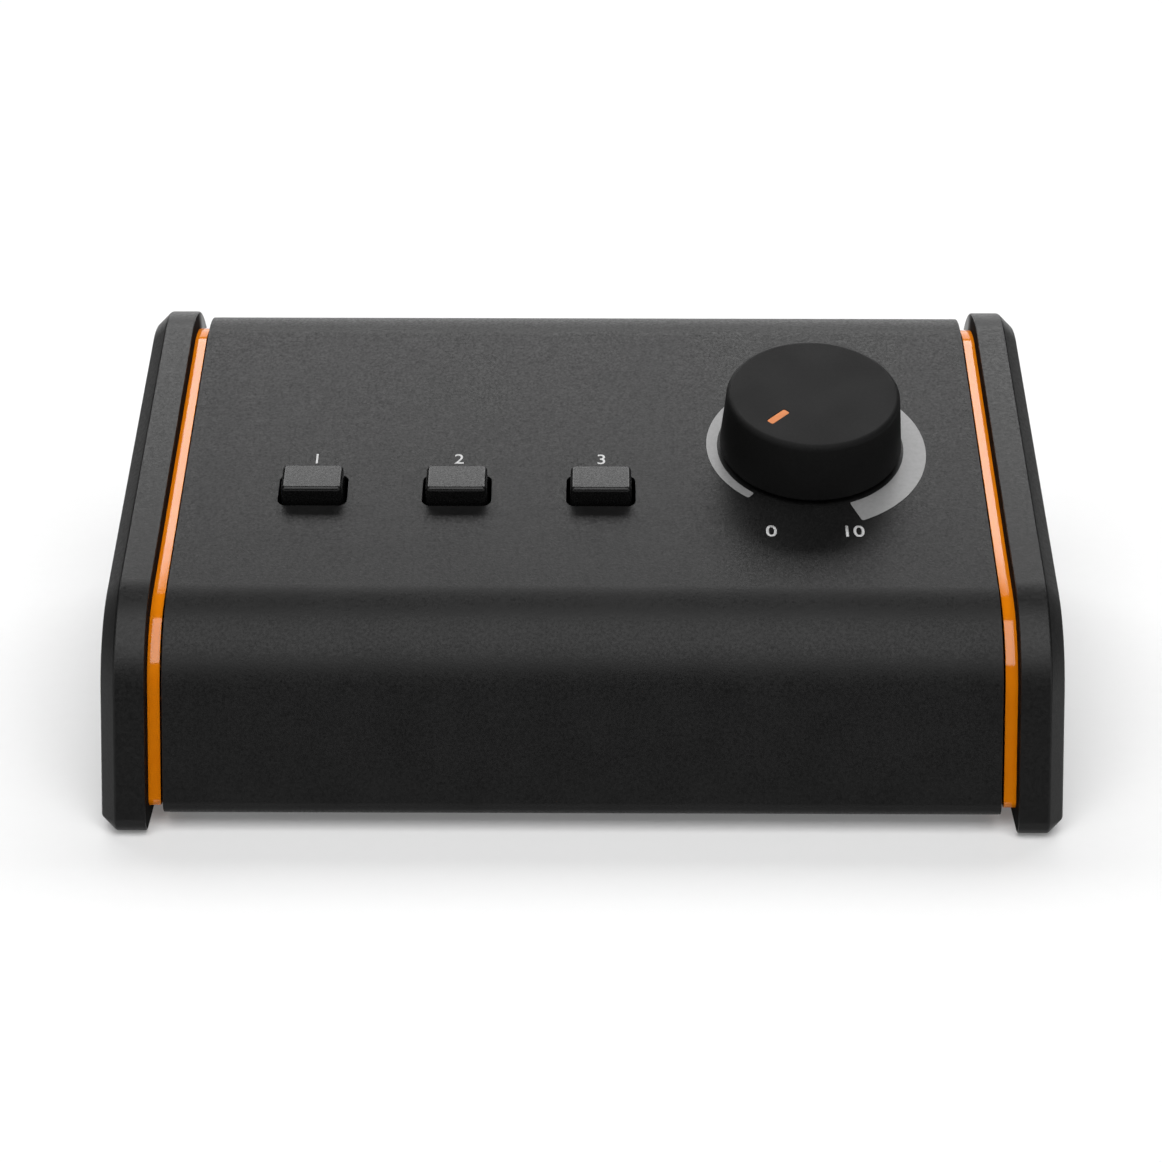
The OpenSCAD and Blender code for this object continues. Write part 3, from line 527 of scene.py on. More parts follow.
def make_cover(name):
    """The sheet's outside is drawn from the lip's edge forwards, up and over to the rear."""
    edges = wedge_edges(COVER_INSET, COVER_FLOOR)
    x = -COVER_X
    at = (LIP_END_Y, COVER_FLOOR)
    obj = start_point(name, x, *at)
    rear_end = math.degrees(math.asin((COVER_END_Z - rear_arc[1]) / cover_rear_r))
    bends = [(4, 3, LIP_BEND_R, 12, FRONT_DIR), (3, 2, FRONT_BEND_R - COVER_INSET, 24, TOP_DIR),
             (2, 1, cover_rear_r, 44, rear_end)]
    for before, after, r, steps, last in bends:
        centre = corner_centre(edges[after], edges[before], r)
        first = edges[before][0]
        run(at, (centre[0] + r * cosd(first), centre[1] + r * sind(first)))
        spin_about(centre, x, last - first, steps)
        at = (centre[0] + r * cosd(last), centre[1] + r * sind(last))
    bpy.ops.mesh.select_all(action="SELECT")
    bpy.ops.mesh.extrude_region_move(TRANSFORM_OT_translate={"value": (2 * COVER_X * MM, 0, 0)})
    bpy.ops.mesh.select_all(action="SELECT")
    bpy.ops.mesh.normals_make_consistent(inside=False)
    done()
    outer = max(obj.data.polygons, key=lambda face: face.area)
    inwards = -1 if outer.normal.z > 0 or outer.normal.y < 0 else 1
    use_modifier(obj, "SOLIDIFY", thickness=SHEET * MM, offset=inwards, use_even_offset=True)
    edit(obj)
    turn_out()
    done()
    for u in BUTTON_U:
        cut(obj, rounded_box("punch", HOLE_W, HOLE_D, PUNCH_H, HOLE_R, on_panel(u, BUTTON_V)))
    deselect()
    bpy.ops.mesh.primitive_cylinder_add(vertices=64, radius=BUSHING_HOLE_R * MM,
                                        depth=PUNCH_H * MM)
    punch = named("punch")
    place(punch, on_panel(DIAL_U, DIAL_V))
    cut(obj, punch)
    soften(obj, COVER_EDGE)
    return obj


cover = make_cover("folded_cover")
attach(cover, "case")
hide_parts("top_cover")
report(cover)

# %% [markdown]
# ## Push buttons
#
# Each button is a small glossy cap that tapers a little towards its top, with a fine bevel round
# the top face. That bevel is only 0.6 mm wide, yet it draws the thin bright line at the front of
# each button, so it is modelled and not left to the finish. The cap is hollow underneath, where
# the switch's stem goes in.

# %% Push buttons
CAP_W, CAP_D, CAP_TOP, CAP_SKIRT = 9.6, 6.2, 2.8, 3.2
CAP_TAPER, CAP_CORNER, CAP_WALL, CAP_BEVEL = 0.3, 0.75, 1.1, 0.6


def make_button(name, u):
    deselect()
    bpy.ops.mesh.primitive_cube_add(size=1)
    obj = named(name)
    edit(obj)
    height = CAP_TOP + CAP_SKIRT
    bpy.ops.transform.resize(value=(CAP_W * MM, CAP_D * MM, height * MM))
    bpy.ops.transform.translate(value=(0, 0, (CAP_TOP - CAP_SKIRT) / 2 * MM))
    done()
    pick(obj, "FACE", lambda centre, normal: normal.z > 0.9)
    bpy.ops.transform.resize(value=(1 - CAP_TAPER / CAP_W, 1 - CAP_TAPER / CAP_D, 1))
    done()
    pick(obj, "EDGE", lambda a, b: abs(a.z - b.z) > height * MM / 2)
    bpy.ops.mesh.bevel(offset=CAP_CORNER * MM, segments=6, profile=0.5, affect="EDGES")
    done()
    pick(obj, "FACE", lambda centre, normal: normal.z < -0.9)
    bpy.ops.mesh.inset(thickness=CAP_WALL * MM, depth=0)
    bpy.ops.mesh.extrude_region_move(
        TRANSFORM_OT_translate={"value": (0, 0, (height - CAP_WALL) * MM)})
    turn_out()
    done()
    top = (CAP_TOP - HAIR) * MM
    pick(obj, "EDGE", lambda a, b: a.z > top and b.z > top)
    bpy.ops.mesh.bevel(offset=CAP_BEVEL * MM, segments=6, profile=0.5, affect="EDGES")
    done()
    place(obj, on_panel(u, BUTTON_V))
    smooth(obj)
    return obj


for side, u in zip(BUTTONS, BUTTON_U):
    button = make_button("push_button_" + side, u)
    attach(button, side + "_push_button")
    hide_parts(side + "_button")
    report(button)

# %% [markdown]
# ## Return springs
#
# A spring under each cap pushes it back up. It is round wire wound seven times, so a small ring
# is drawn and a Screw modifier sweeps it round and upwards; its two ends are then closed. A
# spring gets shorter when its button goes down, and solid parts can't show that. These three are
# made here as pieces of their own, which ride with the case at their full length.

# %% Return springs
SPRING_R, SPRING_WIRE, SPRING_TURNS = 0.9, 0.3, 7
SPRING_LOW, SPRING_TOP = -13.0, -6.4


def make_spring(name, u):
    deselect()
    bpy.ops.mesh.primitive_circle_add(vertices=10, radius=SPRING_WIRE / 2 * MM)
    obj = named(name)
    edit(obj)
    bpy.ops.mesh.select_all(action="SELECT")
    bpy.ops.transform.rotate(value=math.radians(90), orient_axis="X", center_override=(0, 0, 0))
    bpy.ops.transform.translate(
        value=(SPRING_R * MM, 0, (SPRING_LOW + SPRING_WIRE / 2) * MM))
    done()
    rise = SPRING_TOP - SPRING_LOW - SPRING_WIRE
    use_modifier(obj, "SCREW", axis="Z", angle=math.radians(360), iterations=SPRING_TURNS,
                 screw_offset=rise / SPRING_TURNS * MM, steps=20, render_steps=20)
    edit(obj)
    bpy.ops.mesh.select_all(action="SELECT")
    bpy.ops.mesh.fill_holes(sides=0)
    turn_out()
    done()
    place(obj, on_panel(u, BUTTON_V))
    smooth(obj)
    return obj


for side, u in zip(BUTTONS, BUTTON_U):
    spring = make_spring("return_spring_" + side, u)
    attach(spring, "case")
    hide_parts(side + "_switch_spring")
    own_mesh(spring)
    report(spring)

# %% [markdown]
# ## Volume dial
#
# The dial is a body of revolution, so its half outline is drawn once and spun round the shaft's
# axis: a side that tapers slightly, a narrow round at the top edge and a hollow underside. The
# spin leaves a fan of thin faces on the flat top. They are joined to one face before the slot is
# cut, because a cut across a fan leaves creases. The pointer is a coloured bar laid in that slot.

# %% Volume dial
DIAL_R, DIAL_TOP_R, DIAL_H, DIAL_GAP, DIAL_EDGE = 14.2, 13.45, 10.73, 0.8, 0.9
DIAL_ROOF, DIAL_WALL, DIAL_FOOT_EDGE = 9.1, 1.8, 0.3
POINTER_ANGLE = -135.5
POINTER_R = 8.1
SLOT_L, SLOT_W, SLOT_END_R, SLOT_CUT, SLOT_EDGE = 4.04, 1.28, 0.35, 2.0, 0.06
BAR_L, BAR_W, BAR_END_R, BAR_EDGE, BAR_T, BAR_LOW = 4.0, 1.24, 0.33, 0.08, 0.9, 0.53


def lathe(name, outline, steps):
    """Spins an outline of (radius, height) points about the upright axis, at the origin."""
    obj = start_point(name, outline[0][0], 0, outline[0][1])
    for start, end in zip(outline, outline[1:]):
        delta = ((end[0] - start[0]) * MM, 0, (end[1] - start[1]) * MM)
        bpy.ops.mesh.extrude_vertices_move(TRANSFORM_OT_translate={"value": delta})
    bpy.ops.mesh.select_all(action="SELECT")
    bpy.ops.mesh.spin(steps=steps, angle=math.radians(360), axis=(0, 0, 1), center=(0, 0, 0))
    turn_out()
    done()
    return obj


def arc(centre, r, first, last, steps):
    """Points along an arc, from one direction to another, in degrees."""
    return [(centre[0] + r * cosd(first + (last - first) * i / steps),
             centre[1] + r * sind(first + (last - first) * i / steps)) for i in range(steps + 1)]


top_edge = arc((DIAL_TOP_R - DIAL_EDGE, DIAL_H - DIAL_EDGE), DIAL_EDGE, 0, 90, 12)
foot_edge = arc((DIAL_R - DIAL_FOOT_EDGE, DIAL_GAP + DIAL_FOOT_EDGE), DIAL_FOOT_EDGE, -90, 0, 4)
outline = ([(0, DIAL_ROOF), (DIAL_TOP_R - DIAL_WALL, DIAL_ROOF), (DIAL_R - DIAL_WALL, DIAL_GAP)]
           + foot_edge + top_edge + [(0, DIAL_H)])
dial = lathe("volume_dial", outline, 128)
pick(dial, "FACE", lambda centre, normal: normal.z > 0.999)
bpy.ops.mesh.dissolve_faces()
done()
slot_turn = Matrix.Rotation(math.radians(90 - POINTER_ANGLE), 4, "Z")
slot_at = slot_turn @ Matrix.Translation(Vector((POINTER_R, 0, DIAL_H)) * MM)
cut(dial, rounded_box("slot", SLOT_L, SLOT_W, SLOT_CUT, SLOT_END_R, slot_at))
place(dial, on_panel(DIAL_U, DIAL_V))
soften(dial, SLOT_EDGE, angle=50)
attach(dial, "volume_dial")
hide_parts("dial")
report(dial)

pointer = rounded_box("dial_pointer_bar", BAR_L, BAR_W, BAR_T, BAR_END_R,
                      on_panel(DIAL_U, DIAL_V) @ slot_turn
                      @ Matrix.Translation(Vector((POINTER_R, 0, DIAL_H - BAR_LOW)) * MM))
soften(pointer, BAR_EDGE)
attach(pointer, "volume_dial")
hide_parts("dial_pointer")
report(pointer)

# %% [markdown]
# ## Printed marks
#
# Screen-printed ink lies on the paint as a film of a few hundredths of a millimetre. Round the
# dial it is a band that grows wider as the volume goes up. It could be painted by a material,
# but as a thin mesh it keeps a crisp edge from any distance. An edge is spun round the dial, and
# then its outer points are let out to the growing radius. Plain numbers mark the three buttons
# and the two ends of the dial's range.

# %% Scale round the dial
INK, INK_SUNK = 0.03, 0.01
RING_START, RING_END = 219.0, 518.3
RING_IN, RING_OUT = 14.6, 16.03
RING_GROWTH, RING_SPREAD = 0.0033, 2.35e-5
RING_CORNER = 0.35


def ring_out_r(turned):
    """Outer radius of the band, after so many degrees clockwise from its thin end."""
    return RING_OUT + RING_GROWTH * turned + RING_SPREAD * turned ** 2


def make_ring(name):
    """The band as one flat sheet round the origin, with its four corners rounded."""
    heading = (sind(RING_START), cosd(RING_START))
    obj = start_point(name, heading[0] * RING_IN, heading[1] * RING_IN, 0)
    step = (ring_out_r(0) - RING_IN) * MM
    bpy.ops.mesh.extrude_vertices_move(
        TRANSFORM_OT_translate={"value": (heading[0] * step, heading[1] * step, 0)})
    bpy.ops.mesh.select_all(action="SELECT")
    bpy.ops.mesh.spin(steps=150, angle=math.radians(RING_END - RING_START), axis=(0, 0, 1),
                      center=(0, 0, 0))
    merge_doubles()
    done()
    middle_r = (RING_IN + ring_out_r(0)) / 2 * MM
    for vertex in obj.data.vertices:
        if vertex.co.to_2d().length > middle_r:
            clockwise = math.degrees(math.atan2(vertex.co.x, vertex.co.y)) % 360
            turned = (clockwise - RING_START) % 360
            turned = 0 if turned > 359.9 else turned    # the first point, rounded below 0
            vertex.co *= ring_out_r(turned) * MM / vertex.co.length
    first, last = RING_START, RING_END
    corners = [(RING_IN, first), (ring_out_r(0), first),
               (RING_IN, last), (ring_out_r(last - first), last)]
    corners = [Vector((r * sind(a), r * cosd(a), 0)) * MM for r, a in corners]
    pick(obj, "VERT", lambda co: any((co - corner).length < 0.05 * MM for corner in corners))
    bpy.ops.mesh.bevel(offset=RING_CORNER * MM, segments=4, affect="VERTICES")
    done()
    return obj


def ink(obj, matrix):
    """Gives flat print its thickness, lays it on the panel and lets it ride with the case."""
    edit(obj)
    turn_out()
    done()
    if obj.data.polygons[0].normal.z < 0:
        edit(obj)
        bpy.ops.mesh.select_all(action="SELECT")
        bpy.ops.mesh.flip_normals()
        done()
    use_modifier(obj, "SOLIDIFY", thickness=(INK + INK_SUNK) * MM, offset=1)
    place(obj, matrix @ Matrix.Translation((0, 0, -INK_SUNK * MM)))
    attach(obj, "case")
    report(obj)


ink(make_ring("printed_scale"), on_panel(DIAL_U, DIAL_V))

# %% Plain numbers
FONT_CAP = 0.694    # height of a figure at a size of one
BUTTON_NUMBER_SHIFT, BUTTON_NUMBER_V, BUTTON_NUMBER_H = 0.08, -32.2, 2.3
SCALE_NUMBER_V, SCALE_NUMBER_H, SCALE_NUMBER_WEIGHT = -49.2, 2.5, 0.04


def print_number(name, text, u, v, height, weight=0.0):
    """A number made from Blender's own font, turned into a mesh before it is laid down."""
    deselect()
    bpy.ops.object.text_add()
    obj = bpy.context.view_layer.objects.active
    obj.data.body = text
    obj.data.align_x = "CENTER"
    obj.data.align_y = "CENTER"
    obj.data.size = height / FONT_CAP * MM
    obj.data.offset = weight * MM
    activate(obj)
    bpy.ops.object.convert(target="MESH")
    ink(named(name), on_panel(u, v))


for number, u in zip("123", BUTTON_U):
    print_number("printed_number_" + number, number, u + BUTTON_NUMBER_SHIFT, BUTTON_NUMBER_V,
                 BUTTON_NUMBER_H)
for end, number, u in (("low", "0", 28.6), ("high", "10", 41.0)):
    print_number("printed_scale_" + end, number, u, SCALE_NUMBER_V, SCALE_NUMBER_H,
                 SCALE_NUMBER_WEIGHT)

# %% [markdown]
# ## Finishes
#
# A finish starts from what the real surface is. Its colour is written as a hex value, as it
# would be picked from a picture, and one function turns it into the linear light that a shader
# works with. A second small function adds a node with its settings and its links.

# %% Helpers for finishes
def linear(code):
    """A hex colour such as #DA7A05 as linear light, with full opacity."""
    parts = [int(code[i:i + 2], 16) / 255 for i in (1, 3, 5)]
    return [c / 12.92 if c <= 0.04045 else ((c + 0.055) / 1.055) ** 2.4 for c in parts] + [1.0]


def add_node(tree, kind, inputs=None, links=None, **settings):
    """Adds a shader node, sets its own settings and sockets, and links what feeds it."""
    node = tree.nodes.new(kind)
    for name, value in settings.items():
        setattr(node, name, value)
    for socket, value in (inputs or {}).items():
        node.inputs[socket].default_value = value
    for socket, source in (links or {}).items():
        tree.links.new(source, node.inputs[socket])
    return node


def new_finish(name, colour, roughness, **inputs):
    """A material with one Principled shader, whose steady values are set on its own sockets."""
    material = bpy.data.materials.new(name)
    material.use_nodes = True
    shader = material.node_tree.nodes["Principled BSDF"]
    shader.inputs["Base Color"].default_value = linear(colour)
    shader.inputs["Roughness"].default_value = roughness
    for socket, value in inputs.items():
        shader.inputs[socket].default_value = value
    print("finish:", name)
    return material, material.node_tree, shader


def wear(name, material):
    """Puts one finish on a piece or a CAD node."""
    obj = bpy.data.objects[name]
    if obj.material_slots:
        for slot in obj.material_slots:
            slot.material = material
    else:
        obj.data.materials.append(material)


# %% Relief, clouds and tints
def relief(tree, shader, cell_mm, depth_mm, detail=2.0):
    """An uneven surface of a given cell and depth; returns the pattern for further use."""
    where = add_node(tree, "ShaderNodeTexCoord").outputs["Object"]
    pattern = add_node(tree, "ShaderNodeTexNoise", {"Scale": 1000 / cell_mm, "Detail": detail},
                       {"Vector": where})
    bump = add_node(tree, "ShaderNodeBump", {"Distance": depth_mm * MM},
                    {"Height": pattern.outputs["Fac"]})
    tree.links.new(bump.outputs["Normal"], shader.inputs["Normal"])
    return pattern.outputs["Fac"]


def clouds(tree, cell_mm, low, high):
    """A slow change between two values over the surface, such as of roughness."""
    where = add_node(tree, "ShaderNodeTexCoord").outputs["Object"]
    pattern = add_node(tree, "ShaderNodeTexNoise", {"Scale": 1000 / cell_mm, "Detail": 3.0},
                       {"Vector": where})
    spread = add_node(tree, "ShaderNodeMapRange",
                      {"From Min": 0.3, "From Max": 0.7, "To Min": low, "To Max": high},
                      {"Value": pattern.outputs["Fac"]})
    return spread.outputs["Result"]


def tint(tree, socket, pattern, first, second):
    """A pattern mixes a colour from two close ones, and the mix feeds a shader's socket."""
    mix = add_node(tree, "ShaderNodeMix", {"A": linear(first), "B": linear(second)},
                   {"Factor": pattern}, data_type="RGBA")
    tree.links.new(mix.outputs["Result"], socket)


def mottle(tree, shader, cell_mm, first, second):
    """The colour drifts slowly between two close ones."""
    tint(tree, shader.inputs["Base Color"], clouds(tree, cell_mm, 0.0, 1.0), first, second)


def uneven_gloss(tree, shader, cell_mm, low, high):
    """The roughness drifts between two values."""
    tree.links.new(clouds(tree, cell_mm, low, high), shader.inputs["Roughness"])


# %% [markdown]
# ### Powder-coated steel
#
# The cover is sheet steel with a black polyester powder melted onto it. The grains don't flow out
# quite flat, so the coat has a fine pebbled skin, about a third of a millimetre from crest to
# crest, and a slow mottling where it lies thicker. It is satin: a soft light keeps a clear but
# blurred edge in it. The relief gives the pebbles. Some grains melt glossier than others, so the
# roughness varies at the same scale, and the slow mottling goes into the colour.

# %% Powder-coated steel
powder, tree, shader = new_finish("powder_coated_steel", "#101010", 0.42,
                                  **{"Specular IOR Level": 0.20})
relief(tree, shader, 0.36, 0.016)
uneven_gloss(tree, shader, 0.42, 0.31, 0.53)
mottle(tree, shader, 9.0, "#0D0D0D", "#131313")

# %% [markdown]
# ### Textured black paint
#
# The thick cheeks are milled aluminium under a matt black paint with a slightly coarser grain.
# Paint draws thin over a sharp edge and there it looks a shade paler, so the grain also carries
# a little colour. The flat faces towards the case have only a dull primer, so the orange edge
# isn't mirrored beside itself. The trim plates' faces towards the case get the same black, which
# is painted shade for the narrow gap beside the cover, so the orange edge lies between two black
# lines. At the rear end the paint reaches round the edge and the primer gets its gloss.

# %% Textured black paint
cheek_paint, tree, shader = new_finish("textured_black_paint", "#0E0E0E", 0.37,
                                       **{"Specular IOR Level": 0.23})
grains = relief(tree, shader, 0.42, 0.014)
uneven_gloss(tree, shader, 0.5, 0.30, 0.45)
tint(tree, shader.inputs["Base Color"], grains, "#0A0A0A", "#121212")

PAINT_STARTS_Y, PAINT_FULL_Y = 37, 41
# On the cheeks this is a dull primer. On the trim plates the same black is painted shade for the
# narrow gap beside the cover.
primer_and_gap_shade, tree, shader = new_finish("dull_black_primer_and_painted_gap_shade", "#0C0C0C", 0.85,
                                  **{"Specular IOR Level": 0.05})
relief(tree, shader, 0.3, 0.01)
mottle(tree, shader, 2.0, "#0A0A0A", "#0F0F0F")
where = add_node(tree, "ShaderNodeTexCoord").outputs["Object"]
along = add_node(tree, "ShaderNodeSeparateXYZ", links={"Vector": where}).outputs["Y"]
for socket, dull, glossy in (("Roughness", 0.85, 0.37), ("Specular IOR Level", 0.05, 0.5)):
    reach = add_node(tree, "ShaderNodeMapRange",
                     {"From Min": PAINT_STARTS_Y * MM, "From Max": PAINT_FULL_Y * MM,
                      "To Min": dull, "To Max": glossy}, {"Value": along})
    tree.links.new(reach.outputs["Result"], shader.inputs[socket])

# %% [markdown]
# ### Glossy orange lacquer
#
# The trim plates are sprayed with a clear orange lacquer and stay glossy, so they mirror the
# lamps along their whole edge. A sprayed coat is never quite flat: it has long shallow waves,
# a few millimetres from crest to crest, which make the mirrored lamps waver very slightly.

# %% Glossy orange lacquer
lacquer, tree, shader = new_finish("glossy_orange_lacquer", "#E37E06", 0.08)
relief(tree, shader, 5.0, 0.01, detail=1.0)
mottle(tree, shader, 4.0, "#E17B04", "#E58108")
uneven_gloss(tree, shader, 3.0, 0.06, 0.10)

# %% [markdown]
# ### Soft-touch dial
#
# The dial is moulded ABS with a rubbery soft-touch paint. Such paint scatters light under its
# surface and shows hardly any mirror image, only a soft sheen on its round top edge. Its grain
# is finer than the cover's, so it looks smoother.

# %% Soft-touch dial
soft_touch, tree, shader = new_finish("soft_touch_paint", "#121212", 0.56,
                                      **{"Specular IOR Level": 0.09})
relief(tree, shader, 0.22, 0.003)
uneven_gloss(tree, shader, 7.0, 0.53, 0.60)
mottle(tree, shader, 0.4, "#0E0E0E", "#131313")

# %% [markdown]
# ### Orange pointer
#
# The pointer bar is moulded polycarbonate in a paler, slightly milky orange. Light goes a little
# way into it before it comes back, so its gloss is low and its colour drifts slightly.

# %% Orange pointer
pointer_plastic, tree, shader = new_finish("moulded_orange_polycarbonate", "#BE6F36", 0.4,
                                           **{"Specular IOR Level": 0.15, "IOR": 1.58})
relief(tree, shader, 0.4, 0.004)
mottle(tree, shader, 1.5, "#B96A31", "#C3743B")

# %% [markdown]
# ### Spark-eroded button caps
#
# The caps are black ABS from a mould whose top face was spark-eroded. That leaves a fine
# speckle, a quarter of a millimetre across, which breaks the gloss up.

# %% Button caps
cap_plastic, tree, shader = new_finish("spark_eroded_black_abs", "#0D0D0D", 0.24,
                                       **{"Specular IOR Level": 0.22, "IOR": 1.54})
speckle = relief(tree, shader, 0.25, 0.008)
tint(tree, shader.inputs["Base Color"], speckle, "#0A0A0A", "#101010")
uneven_gloss(tree, shader, 0.3, 0.14, 0.34)

# %% [markdown]
# ### Screen-printing inks
#
# A screen print is a film of matt ink pressed through a mesh of about 0.2 mm, which leaves a
# faint weave in it. The scale is printed in mid grey and a little glossy, so the lamp behind
# shows in it wherever the dial isn't in the way. The numbers are in a paler, more matt grey.

# %% Screen-printing inks
inks = {}
for name, colour, worn, gloss in (("mid_grey_screen_ink", "#7C7C7C", "#757575", 0.6),
                                  ("pale_grey_screen_ink", "#BCBCBC", "#B0B0B0", 0.3)):
    inks[name], tree, shader = new_finish(name, colour, 0.4, **{"Specular IOR Level": gloss})
    relief(tree, shader, 0.2, 0.004)
    mottle(tree, shader, 0.7, worn, colour)

# %% [markdown]
# ### Plated and blackened steel
#
# Inside, the tray and brackets are zinc-plated sheet, whose crystals give a faint patchwork a
# few millimetres across. Nuts and shafts are nickel-plated, warmer and smoother. The outer
# screws are blackened with oxide, which is dark but still mirrors as a metal does. Standoffs
# and the dial's bush are turned brass, and the springs are wound from bright drawn wire.

# %% Plated and blackened steel
zinc, tree, shader = new_finish("zinc_plated_steel", "#A9ADB3", 0.36, Metallic=1.0)
relief(tree, shader, 0.5, 0.004)
where = add_node(tree, "ShaderNodeTexCoord").outputs["Object"]
crystals = add_node(tree, "ShaderNodeTexVoronoi", {"Scale": 1000 / 3.5}, {"Vector": where})
tint(tree, shader.inputs["Base Color"], crystals.outputs["Distance"], "#B4B8BD", "#989CA2")
uneven_gloss(tree, shader, 5.0, 0.30, 0.44)

nickel, tree, shader = new_finish("nickel_plated_steel", "#BBB6AB", 0.22, Metallic=1.0)
relief(tree, shader, 0.8, 0.003)
uneven_gloss(tree, shader, 2.5, 0.18, 0.28)

oxide, tree, shader = new_finish("black_oxide_steel", "#303236", 0.42, Metallic=1.0)
relief(tree, shader, 0.3, 0.005)
uneven_gloss(tree, shader, 1.5, 0.36, 0.48)

brass, tree, shader = new_finish("turned_brass", "#C6A15A", 0.28, Metallic=1.0)
relief(tree, shader, 0.35, 0.003)
mottle(tree, shader, 1.5, "#BD974F", "#CFAB66")

wire, tree, shader = new_finish("drawn_spring_wire", "#8E9196", 0.3, Metallic=1.0)
relief(tree, shader, 0.2, 0.003)
uneven_gloss(tree, shader, 1.0, 0.26, 0.36)

# %% [markdown]
# ### Die-cast sockets
#
# The rear sockets' shells are die-cast zinc with a satin nickel finish. The casting skin stays
# slightly uneven under the plating, so reflections in it are soft and broken.

# %% Die-cast sockets
die_cast, tree, shader = new_finish("satin_die_cast_zinc", "#9C9EA1", 0.38, Metallic=1.0)
relief(tree, shader, 0.6, 0.012)
uneven_gloss(tree, shader, 3.0, 0.33, 0.45)

# %% [markdown]
# ### Moulded plastics and rubber
#
# Jacks, switch bodies and headers are black glass-filled nylon, which leaves the mould with a
# dull, slightly cloudy skin. Stems and the wiper are natural white acetal, waxy and smooth. The
# feet are black rubber with a dusty, very matt surface.

# %% Moulded plastics and rubber
nylon, tree, shader = new_finish("glass_filled_black_nylon", "#151516", 0.48,
                                 **{"Specular IOR Level": 0.4, "IOR": 1.53})
relief(tree, shader, 0.35, 0.008)
mottle(tree, shader, 1.2, "#121213", "#1B1B1C")

acetal, tree, shader = new_finish("natural_acetal", "#DEDCD2", 0.38, IOR=1.48)
relief(tree, shader, 0.8, 0.004)
mottle(tree, shader, 3.0, "#DAD8CD", "#E3E1D8")

rubber, tree, shader = new_finish("matt_black_rubber", "#161616", 0.85,
                                  **{"Specular IOR Level": 0.3, "IOR": 1.52})
dust = relief(tree, shader, 0.5, 0.02, detail=4.0)
tint(tree, shader.inputs["Base Color"], dust, "#121212", "#1E1E1D")

# %% [markdown]
# ### Circuit boards, resistors and ribbon cable
#
# The boards are woven glass and epoxy under a green solder mask, and the 0.5 mm weave still
# shows faintly through it. Resistors are dipped in tan lacquer. The ribbon cable's ridges stand
# 1.27 mm apart, one to each wire.

# %% Circuit boards
board, tree, shader = new_finish("green_solder_mask", "#0F4D2C", 0.28, IOR=1.55)
where = add_node(tree, "ShaderNodeTexCoord").outputs["Object"]
weave = add_node(tree, "ShaderNodeTexChecker", {"Scale": 1000 / 0.5}, {"Vector": where})
bump = add_node(tree, "ShaderNodeBump", {"Distance": 0.006 * MM, "Strength": 0.6},
                {"Height": weave.outputs["Fac"]})
tree.links.new(bump.outputs["Normal"], shader.inputs["Normal"])
mottle(tree, shader, 4.0, "#0C4526", "#125634")

# %% Resistors and ribbon cable
dipped, tree, shader = new_finish("dipped_tan_lacquer", "#C49A63", 0.3)
relief(tree, shader, 1.2, 0.02)
mottle(tree, shader, 0.9, "#B98E57", "#CBA46F")

ribbon, tree, shader = new_finish("grey_pvc_ribbon", "#8B8D90", 0.45)
where = add_node(tree, "ShaderNodeTexCoord").outputs["Object"]
ridges = add_node(tree, "ShaderNodeTexWave", {"Scale": 1000 / 1.27 * math.pi / 10},
                  {"Vector": where}, wave_type="BANDS", bands_direction="X")
bump = add_node(tree, "ShaderNodeBump", {"Distance": 0.12 * MM},
                {"Height": ridges.outputs["Fac"]})
tree.links.new(bump.outputs["Normal"], shader.inputs["Normal"])
mottle(tree, shader, 6.0, "#85878A", "#929497")

# %% Each piece and node puts its finish on
worn_by = [
    (powder, ["folded_cover", "top_cover", "rear_panel"]),
    (cheek_paint, ["side_cheek_left", "side_cheek_right", "left_cheek", "right_cheek"]),
    (lacquer, ["trim_plate_left", "trim_plate_right", "left_trim", "right_trim"]),
    (soft_touch, ["volume_dial", "dial"]),
    (pointer_plastic, ["dial_pointer_bar", "dial_pointer"]),
    (cap_plastic, ["push_button_" + b for b in BUTTONS] + [b + "_button" for b in BUTTONS]),
    (inks["mid_grey_screen_ink"], ["printed_scale"]),
    (inks["pale_grey_screen_ink"], ["printed_scale_low", "printed_scale_high"]
     + ["printed_number_" + str(i) for i in (1, 2, 3)]),
    (zinc, ["left_cover_bracket", "right_cover_bracket", "base_tray", "tray_press_nuts",
            "control_screws", "io_screws"]),
    (wire, ["return_spring_" + b for b in BUTTONS] + [b + "_switch_spring" for b in BUTTONS]),
    (nickel, ["jack_nuts", "pot_washer", "pot_nut", "output_pins", "pot_body", "pot_shaft"]),
    (oxide, ["cheek_screws", "base_screws", "output_screws"]),
    (brass, ["control_standoffs", "io_standoffs", "dial_insert"]),
    (die_cast, ["left_output_socket", "right_output_socket"]),
    (nylon, ["link_headers", "left_input_jack", "right_input_jack", "aux_input_jack",
             "output_inserts"] + [b + "_switch" for b in BUTTONS]),
    (acetal, ["pot_wiper"] + [b + "_switch_stem" for b in BUTTONS]),
    (rubber, ["rubber_feet"]),
    (board, ["control_board", "io_board"]),
    (dipped, ["resistors"]),
    (ribbon, ["link_ribbon"]),
]
for finish, things in worn_by:
    for thing in things:
        wear(thing, finish)
# Faces towards the case get the dull black. On the trim plates this black is painted shade for
# the gap beside the cover.
for plate, inwards in ((right_cheek, -1), (left_cheek, 1), (right_trim, -1), (left_trim, 1)):
    plate.data.materials.append(primer_and_gap_shade)
    for face in plate.data.polygons:
        if face.normal.x * inwards > 0.95:
            face.material_index = 1
unfinished = [o.name for o in bpy.data.objects
              if o.type == "MESH" and not any(s.material for s in o.material_slots)]
print("finishes:", len(worn_by), "- without one:", unfinished)

